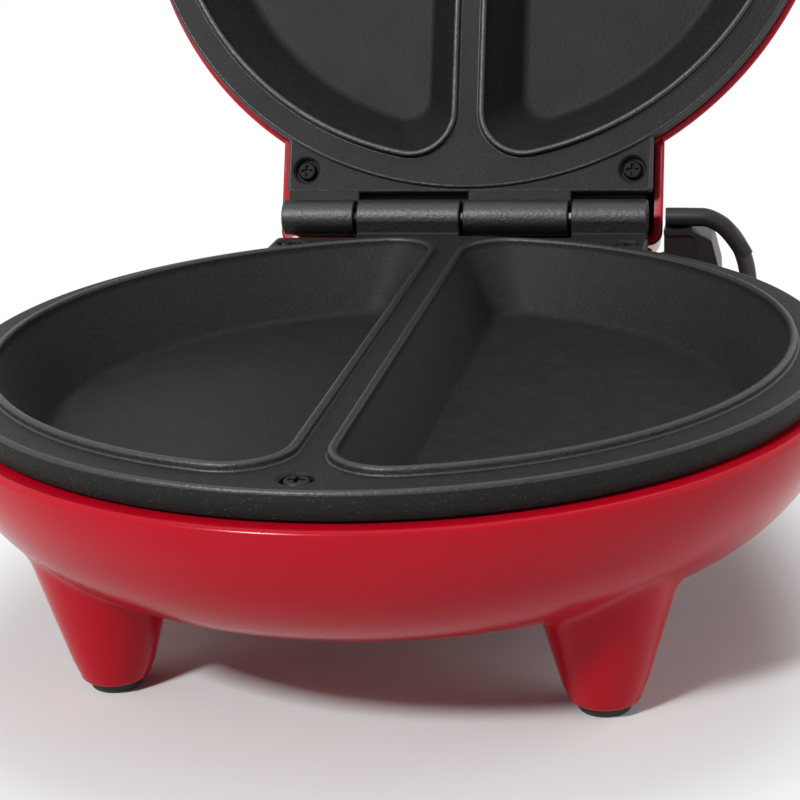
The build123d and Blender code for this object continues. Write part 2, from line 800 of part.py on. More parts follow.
def light_bracket():
    """Strip across two posts inside the lid, behind the lenses, with the two lamps."""
    half_length = lamp_post_spacing / 2 + lamp_post_radius
    half_width = lamp_bracket_width / 2
    strip = block(-half_length, half_length, light_y - half_width, light_y + half_width,
                  bracket_z, bracket_z + lamp_bracket_thickness)
    strip = fillet(strip.edges().filter_by(Axis.Z), 2.0)
    top = bracket_z + lamp_bracket_thickness
    for side in (-1, 1):
        lamp = Cylinder(lamp_radius, lamp_length)
        strip += Pos(side * light_spacing / 2, light_y, top + lamp_length / 2) * lamp
    return strip


# ---------------------------------------------------------------------------
# Cord block, strain relief and mains cord
# ---------------------------------------------------------------------------

def cord_block():
    inner, foot = cord_block_inner_x, base_ear_half_width
    outline = Polyline(
        (foot, cord_block_bottom_z), (foot, cord_block_foot_top_z), (inner, cord_block_foot_top_z + 1.0),
        (inner, cord_block_top_z), (cord_block_top_x, cord_block_top_z),
        (cord_block_slope_x, cord_block_slope_z), (cord_block_outer_x - 1.0, cord_block_mid_z),
        (cord_block_outer_x, cord_block_bottom_z), close=True)
    face = Plane.XZ.offset(-cord_block_back_y) * make_face(outline)
    body = extrude(face, cord_block_back_y - cord_block_front_y)
    tops = body.edges().filter_by(Axis.Y).filter_by(lambda edge: edge.center().X > inner + 1)
    body = fillet(tops.filter_by(lambda edge: edge.center().Z > cord_block_bottom_z + 1), cord_block_round)
    rib = cord_block_panel_rib
    panel_right = cord_block_outer_x - 1.0 - rib
    panel = block(inner - 1, panel_right, cord_block_front_y, cord_block_front_y + cord_block_panel_depth,
                  cord_block_foot_top_z, cord_block_panel_top_z)
    panel = fillet(panel.edges().filter_by(Axis.Y).group_by(Axis.X)[-1].group_by(Axis.Z)[-1], rib / 2)
    body -= panel
    bore = Cylinder(relief_root_radius + fit_clearance, relief_root_depth + 1)
    body -= Pos(relief_root_x, relief_y, relief_z - (relief_root_depth + 1) / 2) * bore
    lead_z = relief_z - relief_root_depth
    body -= rod(wire_diameter + 1.0, (foot - 1, relief_y, lead_z), (relief_root_x, relief_y, lead_z))
    for z in cord_block_screw_zs:
        body -= rod(cord_block_screw_diameter / 2 + fit_clearance, (foot - 1, cord_block_screw_y, z),
                    (foot + 9, cord_block_screw_y, z))
    return body


def cord_block_screws():
    """Screws from inside the rear block into the cord block."""
    screw = cross_screw(cord_block_screw_head_diameter, cord_block_screw_head_height,
                        cord_block_screw_diameter, 10.0)
    turn = Rot(0, -90, 0)
    return [Pos(ear_inner_half_width, cord_block_screw_y, z) * turn * screw for z in cord_block_screw_zs]


def strain_relief():
    """Elbow: a round root down in the cord block, a level sleeve over it and a tapered outlet."""
    root = Pos(relief_root_x, relief_y, relief_z - relief_root_depth / 2) * Cylinder(
        relief_root_radius, relief_root_depth)
    elbow = Pos(relief_root_x, relief_y, relief_z) * Sphere(relief_root_radius)
    outlet = Solid.make_cone(relief_start_radius, relief_end_radius, relief_end_x - relief_root_x,
                             Plane(origin=(relief_root_x, relief_y, relief_z), z_dir=(1, 0, 0)))
    sleeve = rod(relief_start_radius, (relief_sleeve_x, relief_y, relief_z), (relief_root_x, relief_y, relief_z))
    return root + elbow + outlet + sleeve


def supply_leads():
    """Two inner leads from the connector through the wall to the strain relief."""
    low = -ear_block_depth + housing_wall
    side = block_length / 2 + fit_clearance
    root_z = relief_z - relief_root_depth
    leads = []
    for shift in (-1, 1):
        y = relief_y + shift * (wire_diameter / 2 + 0.1)
        points = [
            (side, block_y + shift * 3.0, low + block_height / 2),
            (side + 8.0, block_y + shift * 3.0, low + block_height / 2),
            (side + 20.0, y, root_z - wire_diameter / 2),
            (relief_root_x - relief_root_radius + 1.0, y, root_z - wire_diameter / 2),
        ]
        leads.append(tube_along(points, wire_diameter, wire_bend))
    return leads


def cord_coil():
    """Outer shape of the neat round coil that takes the rest of the cord."""
    half_width = coil_turns_across * cord_diameter / 2
    height = coil_turns_high * cord_diameter
    section = Pos(coil_mid_radius, height / 2) * RectangleRounded(2 * half_width, height, cord_diameter * 0.45)
    ring = revolve(Plane.XZ * section, Axis.Z)
    return Pos(coil_x, coil_y, 0) * ring


def cord_tie():
    """Strap round the coil's section."""
    half_width = coil_turns_across * cord_diameter / 2 + cord_tie_slack
    height = coil_turns_high * cord_diameter
    outer = RectangleRounded(2 * (half_width + cord_tie_thickness), height + 2 * cord_tie_thickness,
                             cord_diameter * 0.45 + cord_tie_thickness)
    inner = RectangleRounded(2 * half_width, height, cord_diameter * 0.3)
    band = extrude(outer - inner, cord_tie_width / 2, both=True)
    band = Pos(coil_mid_radius, 0, height / 2) * Rot(90, 0, 0) * band
    band &= block(0, 2 * coil_mid_radius, -cord_tie_width, cord_tie_width, 0, 2 * height)
    return Pos(coil_x, coil_y, 0) * Rot(0, 0, cord_tie_angle) * band


def plug_place():
    """Frame at the tail's end, with +Z along the cord's last run."""
    end, before = Vector(*tail_route[-1]), Vector(*tail_route[-2])
    flat = Vector(end.X - before.X, end.Y - before.Y, 0)
    return Location(Plane(origin=end, z_dir=flat, x_dir=(0, 0, 1)))


def plug():
    """Moulded two-pin plug with a tapered neck round the cord."""
    neck = Solid.make_cone(cord_diameter / 2 + 0.8, plug_neck_radius, plug_neck_length)
    body = Pos(0, 0, plug_neck_length + plug_length / 2) * Box(plug_thickness, plug_width, plug_length)
    body = fillet(body.edges().filter_by(Axis.Z), plug_round)
    body = fillet(body.edges().group_by(Axis.Z)[0], plug_round * 0.7)
    for side in (-1, 1):
        slot = Box(blade_width + 2 * fit_clearance, blade_thickness + 2 * fit_clearance, 2 * 6.0)
        body -= Pos(0, side * blade_spacing / 2, plug_neck_length + plug_length) * slot
    return plug_place() * (neck + body)


def plug_blades():
    face = plug_neck_length + plug_length
    blades = []
    for side in (-1, 1):
        blade = Box(blade_width, blade_thickness, blade_length + 6.0)
        blade = chamfer(blade.edges().group_by(Axis.Z)[-1].filter_by(Axis.X), 0.5)
        blades.append(plug_place() * Pos(0, side * blade_spacing / 2, face + (blade_length - 6.0) / 2) * blade)
    return blades


# ---------------------------------------------------------------------------
# Assembly
# ---------------------------------------------------------------------------

def group(solids):
    return Compound(children=list(solids))


def build_object():
    """Every node of the machine itself, in the base half's frame."""
    plate = cooking_plate()
    nodes = {
        "base_housing": base_housing(),
        "lower_plate": plate,
        "hinge_pin": Pos(0, hinge_y, hinge_height) * Rot(0, 90, 0) * Cylinder(pin_diameter / 2, pin_length),
        "lower_plate_screws": group(plate_screws()),
        "lower_heating_element": heating_element(),
        "lower_element_clamps": group(element_clamps()),
        "lower_reflector": reflector_pan(),
        "lower_reflector_screws": group(pan_screws()),
        "lower_thermostat": thermostat(),
        "lower_thermal_fuse": thermal_fuse(),
        "base_terminal_block": terminal_block(),
        "base_element_wires": group(element_wires()),
        "supply_leads": group(supply_leads()),
        "cord_block": cord_block(),
        "cord_block_screws": group(cord_block_screws()),
        "strain_relief": strain_relief(),
    }
    foot = Pos(0, 0, foot_height / 2) * Cylinder(foot_radius, foot_height)
    foot = fillet(foot.edges().group_by(Axis.Z)[0], foot_round)
    foot += Pos(0, 0, foot_height + foot_stem_length / 2 - fit_clearance) * Cylinder(
        foot_stem_radius, foot_stem_length - 2 * fit_clearance)
    for name, x, y, _ in leg_places:
        nodes["foot_" + name] = Pos(x, y, -plateau_height) * foot
    lid_nodes = {
        "lid_housing": lid_housing(),
        "upper_plate": plate,
        "upper_plate_screws": group(plate_screws()),
        "upper_heating_element": heating_element(),
        "upper_element_clamps": group(element_clamps()),
        "upper_reflector": reflector_pan(),
        "upper_reflector_screws": group(pan_screws()),
        "upper_thermostat": thermostat(),
        "lid_terminal_block": terminal_block(),
        "lid_element_wires": group(element_wires()),
        "lid_handle": handle(),
        "handle_screws": group(handle_screws()),
        "power_light_lens": light_lens(-1),
        "ready_light_lens": light_lens(1),
        "light_bracket": light_bracket(),
    }
    for name, part in lid_nodes.items():
        nodes[name] = opened(part)
    return {name: Pos(0, 0, plateau_height) * part for name, part in nodes.items()}


def build_cord():
    """Free cord with its coil, tie and plug, standing on z = 0."""
    radii = corner_radii(cord_route)
    tail_radii = corner_radii(tail_route)
    print("cord radii", [round(r, 1) for r in radii], "tail radii", [round(r, 1) for r in tail_radii])
    cord = tube_along(cord_route, cord_diameter, radii)
    tail = tube_along(tail_route, cord_diameter, tail_radii)
    area = math.pi * cord_diameter ** 2 / 4
    print("cord run", round(cord.volume / area, 1), "mm, tail", round(tail.volume / area, 1), "mm")
    turns = coil_turns_across * coil_turns_high
    print("coil holds", round(2 * math.pi * coil_mid_radius * turns, 1), "mm")
    return {
        "cord": cord,
        "cord_tail": tail,
        "cord_coil": cord_coil(),
        "cord_tie": cord_tie(),
        "plug": plug(),
        "plug_blades": group(plug_blades()),
    }


machine = build_object()
boxes = [part.bounding_box() for part in machine.values()]
front, back = min(box.min.Y for box in boxes), max(box.max.Y for box in boxes)
centre = Pos(0, -(front + back) / 2, 0)
print("machine from y", round(front, 3), "to", round(back, 3), "height", max(box.max.Z for box in boxes))
for name, part in {**machine, **build_cord()}.items():
    export_step(centre * part, "parts/" + name + ".step")
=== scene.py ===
# %% [markdown]
# An electric omelette maker stands open on a pale table. It has two cast cooking
# plates with a pair of half-round wells each, a glossy red housing under the lower
# one and over the upper one, a pinned hinge behind, and a black mains lead.
# The construction comes from the packed frame. This script adds what the eye sees:
# smooth skins, rounded edges, coatings, the lead's real lie, and the light.

# %% Load the frame
import bpy
import bmesh
import json
import math
from mathutils import Matrix, Vector
from mathutils.geometry import tessellate_polygon


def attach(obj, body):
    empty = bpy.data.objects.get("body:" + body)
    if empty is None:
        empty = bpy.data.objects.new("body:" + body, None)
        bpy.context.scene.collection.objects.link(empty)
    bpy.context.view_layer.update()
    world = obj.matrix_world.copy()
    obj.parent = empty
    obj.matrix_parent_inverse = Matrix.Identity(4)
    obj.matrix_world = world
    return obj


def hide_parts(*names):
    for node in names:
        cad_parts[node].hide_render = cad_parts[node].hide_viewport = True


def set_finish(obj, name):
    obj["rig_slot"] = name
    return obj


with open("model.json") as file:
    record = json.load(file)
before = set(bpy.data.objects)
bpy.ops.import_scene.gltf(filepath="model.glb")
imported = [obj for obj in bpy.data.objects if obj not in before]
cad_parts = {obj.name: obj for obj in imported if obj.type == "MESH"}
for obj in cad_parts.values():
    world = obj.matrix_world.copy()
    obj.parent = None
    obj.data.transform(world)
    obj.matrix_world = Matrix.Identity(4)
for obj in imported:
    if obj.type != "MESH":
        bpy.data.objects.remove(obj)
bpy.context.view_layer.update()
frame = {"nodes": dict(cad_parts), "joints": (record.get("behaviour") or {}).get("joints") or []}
nodes = frame["nodes"]

# %% [markdown]
# Both halves of the machine are the same castings, so every piece is drawn once in a
# "half" frame in millimetres: the cooking face is z = 0, the body hangs below it, and
# the plate's middle is x = y = 0. Two matrices put a half on the table or in the open
# lid. They are worked out from the hinge in the frame, so they follow it if it moves.

# %% Where the two halves are
MM = 0.001
HINGE_BACK, HINGE_UP = 108.5, 3.0
lid_joint = frame["joints"][0]
hinge_point = Vector(lid_joint["pos_m"])
open_angle = math.radians(lid_joint["range_deg"][1])
to_hinge = Matrix.Translation(Vector((0, -HINGE_BACK, -HINGE_UP)))
turned_over = Matrix.Translation((0, 0, 2 * HINGE_UP)) @ Matrix.Rotation(math.pi, 4, "Y")
in_base = Matrix.Translation(hinge_point) @ Matrix.Scale(MM, 4) @ to_hinge
in_lid = (Matrix.Translation(hinge_point) @ Matrix.Rotation(-open_angle, 4, "X")
          @ Matrix.Scale(MM, 4) @ to_hinge @ turned_over)
plate_middle = in_base @ Vector((0, 0, 0))
print("cooking face is", round(plate_middle.z / MM, 1), "mm above the table")

# %% [markdown]
# The photograph looks down at the lower plate from a little to the right. A camera in
# Blender looks along its own -Z, so it is tipped up from straight down, turned about
# the vertical, and rolled a touch about its own axis. The small shift stands for a
# photograph whose optical axis isn't quite in the middle of the frame.

# %% Camera
CAMERA_FROM_PLATE = Vector((90.12, -432.80, 129.91))
CAMERA_TURN, CAMERA_DIP, CAMERA_ROLL = 0.21049, 0.31647, -0.04791
FOCAL_LENGTH, SENSOR_WIDTH = 89.54, 36.0
SHIFT_RIGHT, SHIFT_UP = 0.0211, -0.0012
camera_data = bpy.data.cameras.new("camera")
camera_data.lens = FOCAL_LENGTH
camera_data.sensor_width = SENSOR_WIDTH
camera_data.shift_x, camera_data.shift_y = SHIFT_RIGHT, SHIFT_UP
camera_data.clip_start, camera_data.clip_end = 0.01, 30.0
camera = bpy.data.objects.new("camera", camera_data)
camera.matrix_world = (
    Matrix.Translation(plate_middle + CAMERA_FROM_PLATE * MM)
    @ Matrix.Rotation(CAMERA_TURN, 4, "Z")
    @ Matrix.Rotation(math.pi / 2 - CAMERA_DIP, 4, "X")
    @ Matrix.Rotation(CAMERA_ROLL, 4, "Z"))
bpy.context.scene.collection.objects.link(camera)
bpy.context.scene.camera = camera
print("camera stands", round(camera.location.z / MM), "mm above the table")

# %% [markdown]
# A lead keeps its length and its stiffness: it leaves the strain relief level, falls,
# and turns onto the table in bends as wide as it likes. What the photograph doesn't
# show is wound into a neat coil behind the machine. One NURBS line follows the listed
# points, then four turns by a loop, then the tail to the plug. Its bevel makes
# the round sleeve, so the line can be moved without building a tube again. The bevel is
# a circle of one metre and each point holds the lead's radius, because a curve's box is
# its points grown by their radius.

# %% Round rubber lines
plate_to_table = Vector((0, plate_middle.y, 0))


def round_line(name, places, radii, smoothness):
    """A round line through chosen places in millimetres, with a radius at each of them."""
    curve = bpy.data.curves.new(name, "CURVE")
    curve.dimensions = "3D"
    curve.bevel_depth = 1.0
    curve.bevel_resolution = smoothness
    curve.use_fill_caps = True
    line = curve.splines.new("NURBS")
    line.points.add(len(places) - 1)
    for spot, place, radius in zip(line.points, places, radii):
        spot.co = (*(Vector(place) * MM + plate_to_table), 1.0)
        spot.radius = radius * MM
    line.order_u = 3
    line.use_endpoint_u = True
    line.resolution_u = 8
    made = bpy.data.objects.new(name, curve)
    bpy.context.scene.collection.objects.link(made)
    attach(made, "base")
    return made


print("the plate's middle lies", round(plate_to_table.y / MM, 1), "mm from the frame's middle")

# %% Mains lead
LEAD_DIAMETER, LEAD_LENGTH = 4.6, 880.0
COIL_MIDDLE = (22.0, 165.0)
COIL_RADIUS, COIL_TURNS, COIL_CROSSING = 25.0, 4.25, 0.25
POINTS_PER_TURN = 16
lead_start = [
    (64.5, 109.0, 67.0), (68.4, 109.0, 67.0), (74.2, 109.0, 63.4), (78.3, 109.0, 56.2),
    (79.7, 109.2, 46.0), (80.2, 109.8, 34.0), (79.8, 112.7, 21.0), (78.8, 120.5, 10.0),
    (77.0, 132.0, 4.0), (74.0, 146.0, 2.4), (68.0, 163.0, 2.35), (57.0, 178.0, 2.35),
    (42.0, 188.5, 2.35), (30.0, 191.9, 2.35),
]
lead_tail = [
    (-5.6, 157.0, 6.6), (-9.0, 144.5, 4.6), (-18.0, 134.5, 3.4),
    (-30.5, 129.8, 4.4), (-42.0, 129.0, 7.5), (-50.0, 129.0, 7.5),
]


def coil_points():
    """Four turns: out and in on the table, then in and out a diameter higher."""
    low, high = LEAD_DIAMETER / 2, 1.5 * LEAD_DIAMETER
    out, near = COIL_RADIUS + LEAD_DIAMETER / 2, COIL_RADIUS - LEAD_DIAMETER / 2
    turns = [(out, low), (near, low), (near, high), (out, high)]
    points = []
    steps = int(COIL_TURNS * POINTS_PER_TURN)
    for step in range(steps + 1):
        angle = math.pi / 2 + 2 * math.pi * step / POINTS_PER_TURN
        turn = step / POINTS_PER_TURN
        whole = min(3, int(turn))
        radius, height = turns[whole]
        after = turns[min(3, whole + 1)]
        share = max(0.0, (turn - whole - 1 + COIL_CROSSING) / COIL_CROSSING) if whole < 3 else 0.0
        radius += (after[0] - radius) * share
        height += (after[1] - height) * share
        points.append((COIL_MIDDLE[0] + radius * math.cos(angle),
                       COIL_MIDDLE[1] + radius * math.sin(angle), height))
    return points


lead_points = lead_start + coil_points() + lead_tail
mains_lead = round_line("mains_lead", lead_points, [LEAD_DIAMETER / 2] * len(lead_points), 6)
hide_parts("cord", "cord_tail", "cord_coil")
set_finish(mains_lead, "cord_rubber")
lead_length = sum((Vector(b) - Vector(a)).length for a, b in zip(lead_points, lead_points[1:]))
print("lead runs add up to", round(lead_length), "mm")

# %% [markdown]
# Where the lead leaves the block it wears a rubber boot that is thick at its root and
# thins along the lead, so that a pull spreads over a bend instead of kinking one spot.
# It follows the lead's own points, so it is one more curve, with a radius at each point.

# %% Strain relief
BOOT_RADII = (2.65, 2.65, 2.6, 2.52, 2.43, 2.33)
boot_points = [(56.6, 109.0, 67.0), (60.0, 109.0, 67.0), *lead_start[:4]]
lead_boot = round_line("lead_boot", boot_points, BOOT_RADII, 8)
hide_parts("strain_relief")
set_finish(lead_boot, "black_plastic")
print("boot runs", round(boot_points[-1][0] - boot_points[0][0], 1), "mm out from the block")

# %% [markdown]
# The table is a large pale plane. Beyond an oval patch round the object it fades to the
# plain white of the backdrop, as a studio sweep does. The fade shows only to the camera
# and in reflections, so the light that the table throws on the object stays as it is.

# %% Table and backdrop
TABLE_COLOUR = (0.66, 0.69, 0.69, 1)
PATCH_MIDDLE = (0.0, -0.1015, 0.0)
PATCH_SIDE, PATCH_FRONT, PATCH_BACK = 0.095, 0.075, 0.17
FADE_START, FADE_END = 0.88, 1.38


def node(tree, kind, sockets=None, **attributes):
    """A new shader node with some of its sockets and attributes set."""
    made = tree.nodes.new(kind)
    for name, value in attributes.items():
        setattr(made, name, value)
    for name, value in (sockets or {}).items():
        made.inputs[name].default_value = value
    return made


def wire(tree, start, end):
    """Joins an output to an input."""
    tree.links.new(start, end)


def seen_plainly(tree):
    """1 on rays from the camera, in reflections and through clear pieces, 0 on the rest."""
    path = node(tree, "ShaderNodeLightPath")
    shown = path.outputs["Is Camera Ray"]
    for kind in ("Is Glossy Ray", "Is Transmission Ray"):
        either = node(tree, "ShaderNodeMath", operation="MAXIMUM")
        wire(tree, shown, either.inputs[0])
        wire(tree, path.outputs[kind], either.inputs[1])
        shown = either.outputs[0]
    return shown


def patch_distance(tree):
    """How far out a point of the table lies, with 1 on the edge of the oval patch."""
    place = node(tree, "ShaderNodeNewGeometry")
    moved = node(tree, "ShaderNodeVectorMath", operation="SUBTRACT")
    wire(tree, place.outputs["Position"], moved.inputs[0])
    moved.inputs[1].default_value = PATCH_MIDDLE
    split = node(tree, "ShaderNodeSeparateXYZ")
    wire(tree, moved.outputs[0], split.inputs[0])
    scaled = []
    for axis, half in (("X", PATCH_SIDE), ("Y", -PATCH_FRONT), ("Y", PATCH_BACK)):
        share = node(tree, "ShaderNodeMath", operation="DIVIDE")
        wire(tree, split.outputs[axis], share.inputs[0])
        share.inputs[1].default_value = half
        scaled.append(share.outputs[0])
    along = node(tree, "ShaderNodeMath", operation="MAXIMUM")
    wire(tree, scaled[1], along.inputs[0])
    wire(tree, scaled[2], along.inputs[1])
    joined = node(tree, "ShaderNodeCombineXYZ")
    wire(tree, scaled[0], joined.inputs["X"])
    wire(tree, along.outputs[0], joined.inputs["Y"])
    reach = node(tree, "ShaderNodeVectorMath", operation="LENGTH")
    wire(tree, joined.outputs[0], reach.inputs[0])
    return reach.outputs["Value"]


def table_material():
    """Pale matt paper that turns into the backdrop's white far out."""
    material = bpy.data.materials.new("table_paper")
    material.use_nodes = True
    tree = material.node_tree
    tree.nodes.clear()
    out = node(tree, "ShaderNodeOutputMaterial")
    paper = node(tree, "ShaderNodeBsdfDiffuse", {"Color": TABLE_COLOUR})
    white = node(tree, "ShaderNodeEmission", {"Strength": 1.0})
    mix = node(tree, "ShaderNodeMixShader")
    fade = node(tree, "ShaderNodeMapRange", {"From Min": FADE_START, "From Max": FADE_END},
                interpolation_type="SMOOTHSTEP")
    only_seen = node(tree, "ShaderNodeMath", operation="MULTIPLY")
    wire(tree, patch_distance(tree), fade.inputs["Value"])
    wire(tree, fade.outputs[0], only_seen.inputs[0])
    wire(tree, seen_plainly(tree), only_seen.inputs[1])
    wire(tree, only_seen.outputs[0], mix.inputs[0])
    wire(tree, paper.outputs[0], mix.inputs[1])
    wire(tree, white.outputs[0], mix.inputs[2])
    wire(tree, mix.outputs[0], out.inputs["Surface"])
    return material


TABLE_HALF = 4.0
table_mesh = bpy.data.meshes.new("table")
table_corners = [(x * TABLE_HALF, y * TABLE_HALF, 0) for x, y in ((-1, -1), (1, -1), (1, 1), (-1, 1))]
table_mesh.from_pydata(table_corners, [], [(0, 1, 2, 3)])
table_mesh.materials.append(table_material())
table = bpy.data.objects.new("table", table_mesh)
bpy.context.scene.collection.objects.link(table)
print("table is white", round(PATCH_SIDE * FADE_END, 3), "m out to the sides")

# %% [markdown]
# The light is a plain studio. The key stands in front, somewhat to the left and 41
# degrees up, which is where the edge of the shadow on the table points back to. A wide
# panel overhead and one low on each side soften the rest, and the world fills a little.
# The low ones light the sides but aren't mirrored, since their image would burn a white
# patch into every flat glossy face that is seen at a low angle.

# %% Light
WORLD_FILL = 0.06


def studio_world():
    """A weak even fill that looks plain white wherever it is seen."""
    world = bpy.data.worlds.new("studio")
    world.use_nodes = True
    tree = world.node_tree
    tree.nodes.clear()
    out = node(tree, "ShaderNodeOutputWorld")
    fill = node(tree, "ShaderNodeBackground", {"Color": (1, 1, 1, 1), "Strength": WORLD_FILL})
    seen = node(tree, "ShaderNodeBackground", {"Color": (1, 1, 1, 1), "Strength": 1.0})
    mix = node(tree, "ShaderNodeMixShader")
    wire(tree, seen_plainly(tree), mix.inputs[0])
    wire(tree, fill.outputs[0], mix.inputs[1])
    wire(tree, seen.outputs[0], mix.inputs[2])
    wire(tree, mix.outputs[0], out.inputs["Surface"])
    return world


def soft_panel(name, place, aim, size, power, mirrored=True):
    """A rectangular soft light that faces a point. Glossy skins mirror it unless told not to."""
    lamp = bpy.data.lights.new(name, "AREA")
    lamp.shape = "RECTANGLE"
    lamp.size, lamp.size_y = size
    lamp.energy = power
    panel = bpy.data.objects.new(name, lamp)
    facing = (Vector(aim) - Vector(place)).to_track_quat("-Z", "Y")
    panel.matrix_world = Matrix.Translation(place) @ facing.to_matrix().to_4x4()
    panel.visible_glossy = mirrored
    bpy.context.scene.collection.objects.link(panel)
    return panel


bpy.context.scene.world = studio_world()
BODY_MIDDLE, SIDE_PANEL = (0, 0, 0.05), (1.7, 0.85)
soft_panel("key_panel", (-0.55, -1.18, 1.13), (0, -0.06, 0.05), (0.2, 0.2), 25.0)
soft_panel("sky_panel", (0.1, 0.2, 1.7), BODY_MIDDLE, (1.8, 1.8), 8.0)
soft_panel("right_panel", (1.2, 0.3, 0.45), BODY_MIDDLE, SIDE_PANEL, 12.0, mirrored=False)
soft_panel("left_panel", (-1.2, -0.1, 0.45), BODY_MIDDLE, SIDE_PANEL, 6.0, mirrored=False)
bpy.context.scene.view_settings.view_transform = "Standard"

# %% [markdown]
# Every skin is drawn with the same small tools. A row is a loop of points; neighbouring
# rows of equal count are joined by quads, and flat areas with holes are filled. That is
# how a pattern maker sweeps a template, and it keeps edges even, so a round of under a
# millimetre still catches the light the same way all along its length.

# %% Tools for skins
MERGE = 2e-6
SHARP = math.radians(32)


class Skin:
    """Rows of points in a half's millimetres, joined into faces."""

    def __init__(self):
        self.points = []
        self.faces = []
        self.shiny = set()

    def row(self, points):
        """Adds points and returns their numbers."""
        first = len(self.points)
        self.points.extend(Vector(point) for point in points)
        return list(range(first, len(self.points)))

    def sweep(self, rows, closed=True, shiny=False):
        """Joins neighbouring rows and returns the numbers of the first and the last one."""
        numbered = [self.row(points) for points in rows]
        start = len(self.faces)
        for low, high in zip(numbered, numbered[1:]):
            count = len(low)
            for i in range(count if closed else count - 1):
                j = (i + 1) % count
                self.faces.append((low[i], low[j], high[j], high[i]))
        if shiny:
            self.shine_from(start)
        return numbered[0], numbered[-1]

    def shine_from(self, start, test=None):
        """Gives the faces from a number on the second finish, or those whose middle passes a test."""
        for number in range(start, len(self.faces)):
            corners = [self.points[corner] for corner in self.faces[number]]
            if test is None or test(sum(corners, Vector()) / len(corners)):
                self.shiny.add(number)

    def fill(self, *loops):
        """A flat face inside the first loop, with the other loops as holes."""
        numbers = [number for loop in loops for number in loop]
        flat = [[self.points[number] for number in loop] for loop in loops]
        for corners in tessellate_polygon(flat):
            self.faces.append(tuple(numbers[corner] for corner in corners))

    def piece(self, name, place, body, slot, *stands_for):
        """Turns the drawing into an object on a body, in place of some CAD nodes."""
        mesh = bpy.data.meshes.new(name)
        mesh.from_pydata([place @ point for point in self.points], [], self.faces)
        mesh.polygons.foreach_set("material_index", [i in self.shiny for i in range(len(self.faces))])
        board = bmesh.new()
        board.from_mesh(mesh)
        bmesh.ops.remove_doubles(board, verts=board.verts, dist=MERGE)
        bmesh.ops.recalc_face_normals(board, faces=board.faces)
        board.to_mesh(mesh)
        board.free()
        mesh.shade_smooth()
        mesh.set_sharp_from_angle(angle=SHARP)
        made = bpy.data.objects.new(name, mesh)
        bpy.context.scene.collection.objects.link(made)
        flats = made.modifiers.new("flat_faces_stay_flat", "WEIGHTED_NORMAL")
        flats.keep_sharp = True
        flats.weight = 60
        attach(made, body)
        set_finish(made, slot)
        if stands_for:
            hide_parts(*stands_for)
        print(name, "has", len(mesh.polygons), "faces")
        return made


print("a skin is drawn by", ", ".join(name for name in vars(Skin) if name[0] != "_"))

# %% [markdown]
# Nearly every outline is made of level circles, flat arcs and quarter rounds. An inset
# outline is the same shape a little smaller, which is how a rounded edge steps in.

# %% Rings, arcs and rounded edges


def ring(radius, z, count=240, x=0.0, y=0.0):
    """A level circle."""
    turns = [2 * math.pi * i / count for i in range(count)]
    return [(x + radius * math.cos(a), y + radius * math.sin(a), z) for a in turns]


def arc(centre, radius, start, end, steps):
    """Points of a flat arc, angles in degrees."""
    angles = [math.radians(start + (end - start) * i / steps) for i in range(steps + 1)]
    return [(centre[0] + radius * math.cos(a), centre[1] + radius * math.sin(a)) for a in angles]


def round_steps(radius, steps=4):
    """(distance in, distance down) along a quarter round, from the flat to the wall."""
    angles = [math.pi / 2 * i / steps for i in range(steps + 1)]
    return [(radius * (1 - math.sin(a)), radius * (1 - math.cos(a))) for a in angles]


def inset(outline, distance):
    """A closed flat outline moved inwards by a distance."""
    count = len(outline)
    area = sum(outline[i - 1][0] * outline[i][1] - outline[i][0] * outline[i - 1][1] for i in range(count))
    turn = 1 if area > 0 else -1
    moved = []
    for i in range(count):
        here, before, after = (Vector(outline[k]) for k in (i, i - 1, (i + 1) % count))
        came, goes = (here - before).normalized(), (after - here).normalized()
        sides = [Vector((-d.y, d.x)) * turn for d in (came, goes)]
        both = sides[0] + sides[1]
        moved.append(tuple(here + both * distance / max(0.3, 1 + sides[0].dot(sides[1]))))
    return moved


print("a 1 mm round steps in by", [round(step, 2) for step, _ in round_steps(1.0)])

# %% [markdown]
# Barrels and webs are one outline pushed through a thickness. Both ends are rounded,
# because a cast edge is never knife sharp, and a bore may run through the middle.

# %% Slab


def slab(skin, outline, low, high, rounding, across, hole=None):
    """An outline pushed through a thickness, both ends rounded. across puts it in space."""
    steps = round_steps(rounding)
    rows = [(inset(outline, d), low + down) for d, down in steps]
    rows += [(inset(outline, d), high - down) for d, down in reversed(steps)]
    first, last = skin.sweep([[across(p, level) for p in points] for points, level in rows])
    if hole:
        bore = skin.sweep([[across(p, level) for p in hole] for level in (low, high)])
        skin.fill(first, bore[0])
        skin.fill(last, bore[1])
    else:
        skin.fill(first)
        skin.fill(last)


print("slab tool ready")

# %% [markdown]
# The cooking plate is one aluminium casting with a baked non-stick coating and two
# half-round wells side by side. Seen from above, a well is a straight run along the
# divider, an arc about the plate's middle and a small arc in each corner, so one
# function draws it at any size and height.

# %% Outline of a well
WELL_GAP, WELL_R, WELL_CORNER, WELL_DEPTH = 4.75, 90.6, 11.5, 16.4
FLOOR_GAP, FLOOR_R, FLOOR_CORNER = 13.55, 79.6, 7.5


def half_round(gap, radius, corner, side, z):
    """Outline of a well: straight along the divider, round corners, arc about the middle."""
    centre_x = gap + corner
    centre_y = math.sqrt((radius - corner) ** 2 - centre_x ** 2)
    turn = math.degrees(math.atan2(centre_y, centre_x))
    points = [(gap, centre_y * (2 * i / 24 - 1)) for i in range(24)]
    points += arc((centre_x, centre_y), corner, 180, turn, 16)[:-1]
    points += arc((0, 0), radius, turn, -turn, 110)[:-1]
    points += arc((centre_x, -centre_y), corner, -turn, -180, 16)[:-1]
    return [(side * x, y, z) for x, y in points]


def between(a, b, share):
    """The row that lies a share of the way from one row to another."""
    return [Vector(p).lerp(Vector(q), share) for p, q in zip(a, b)]


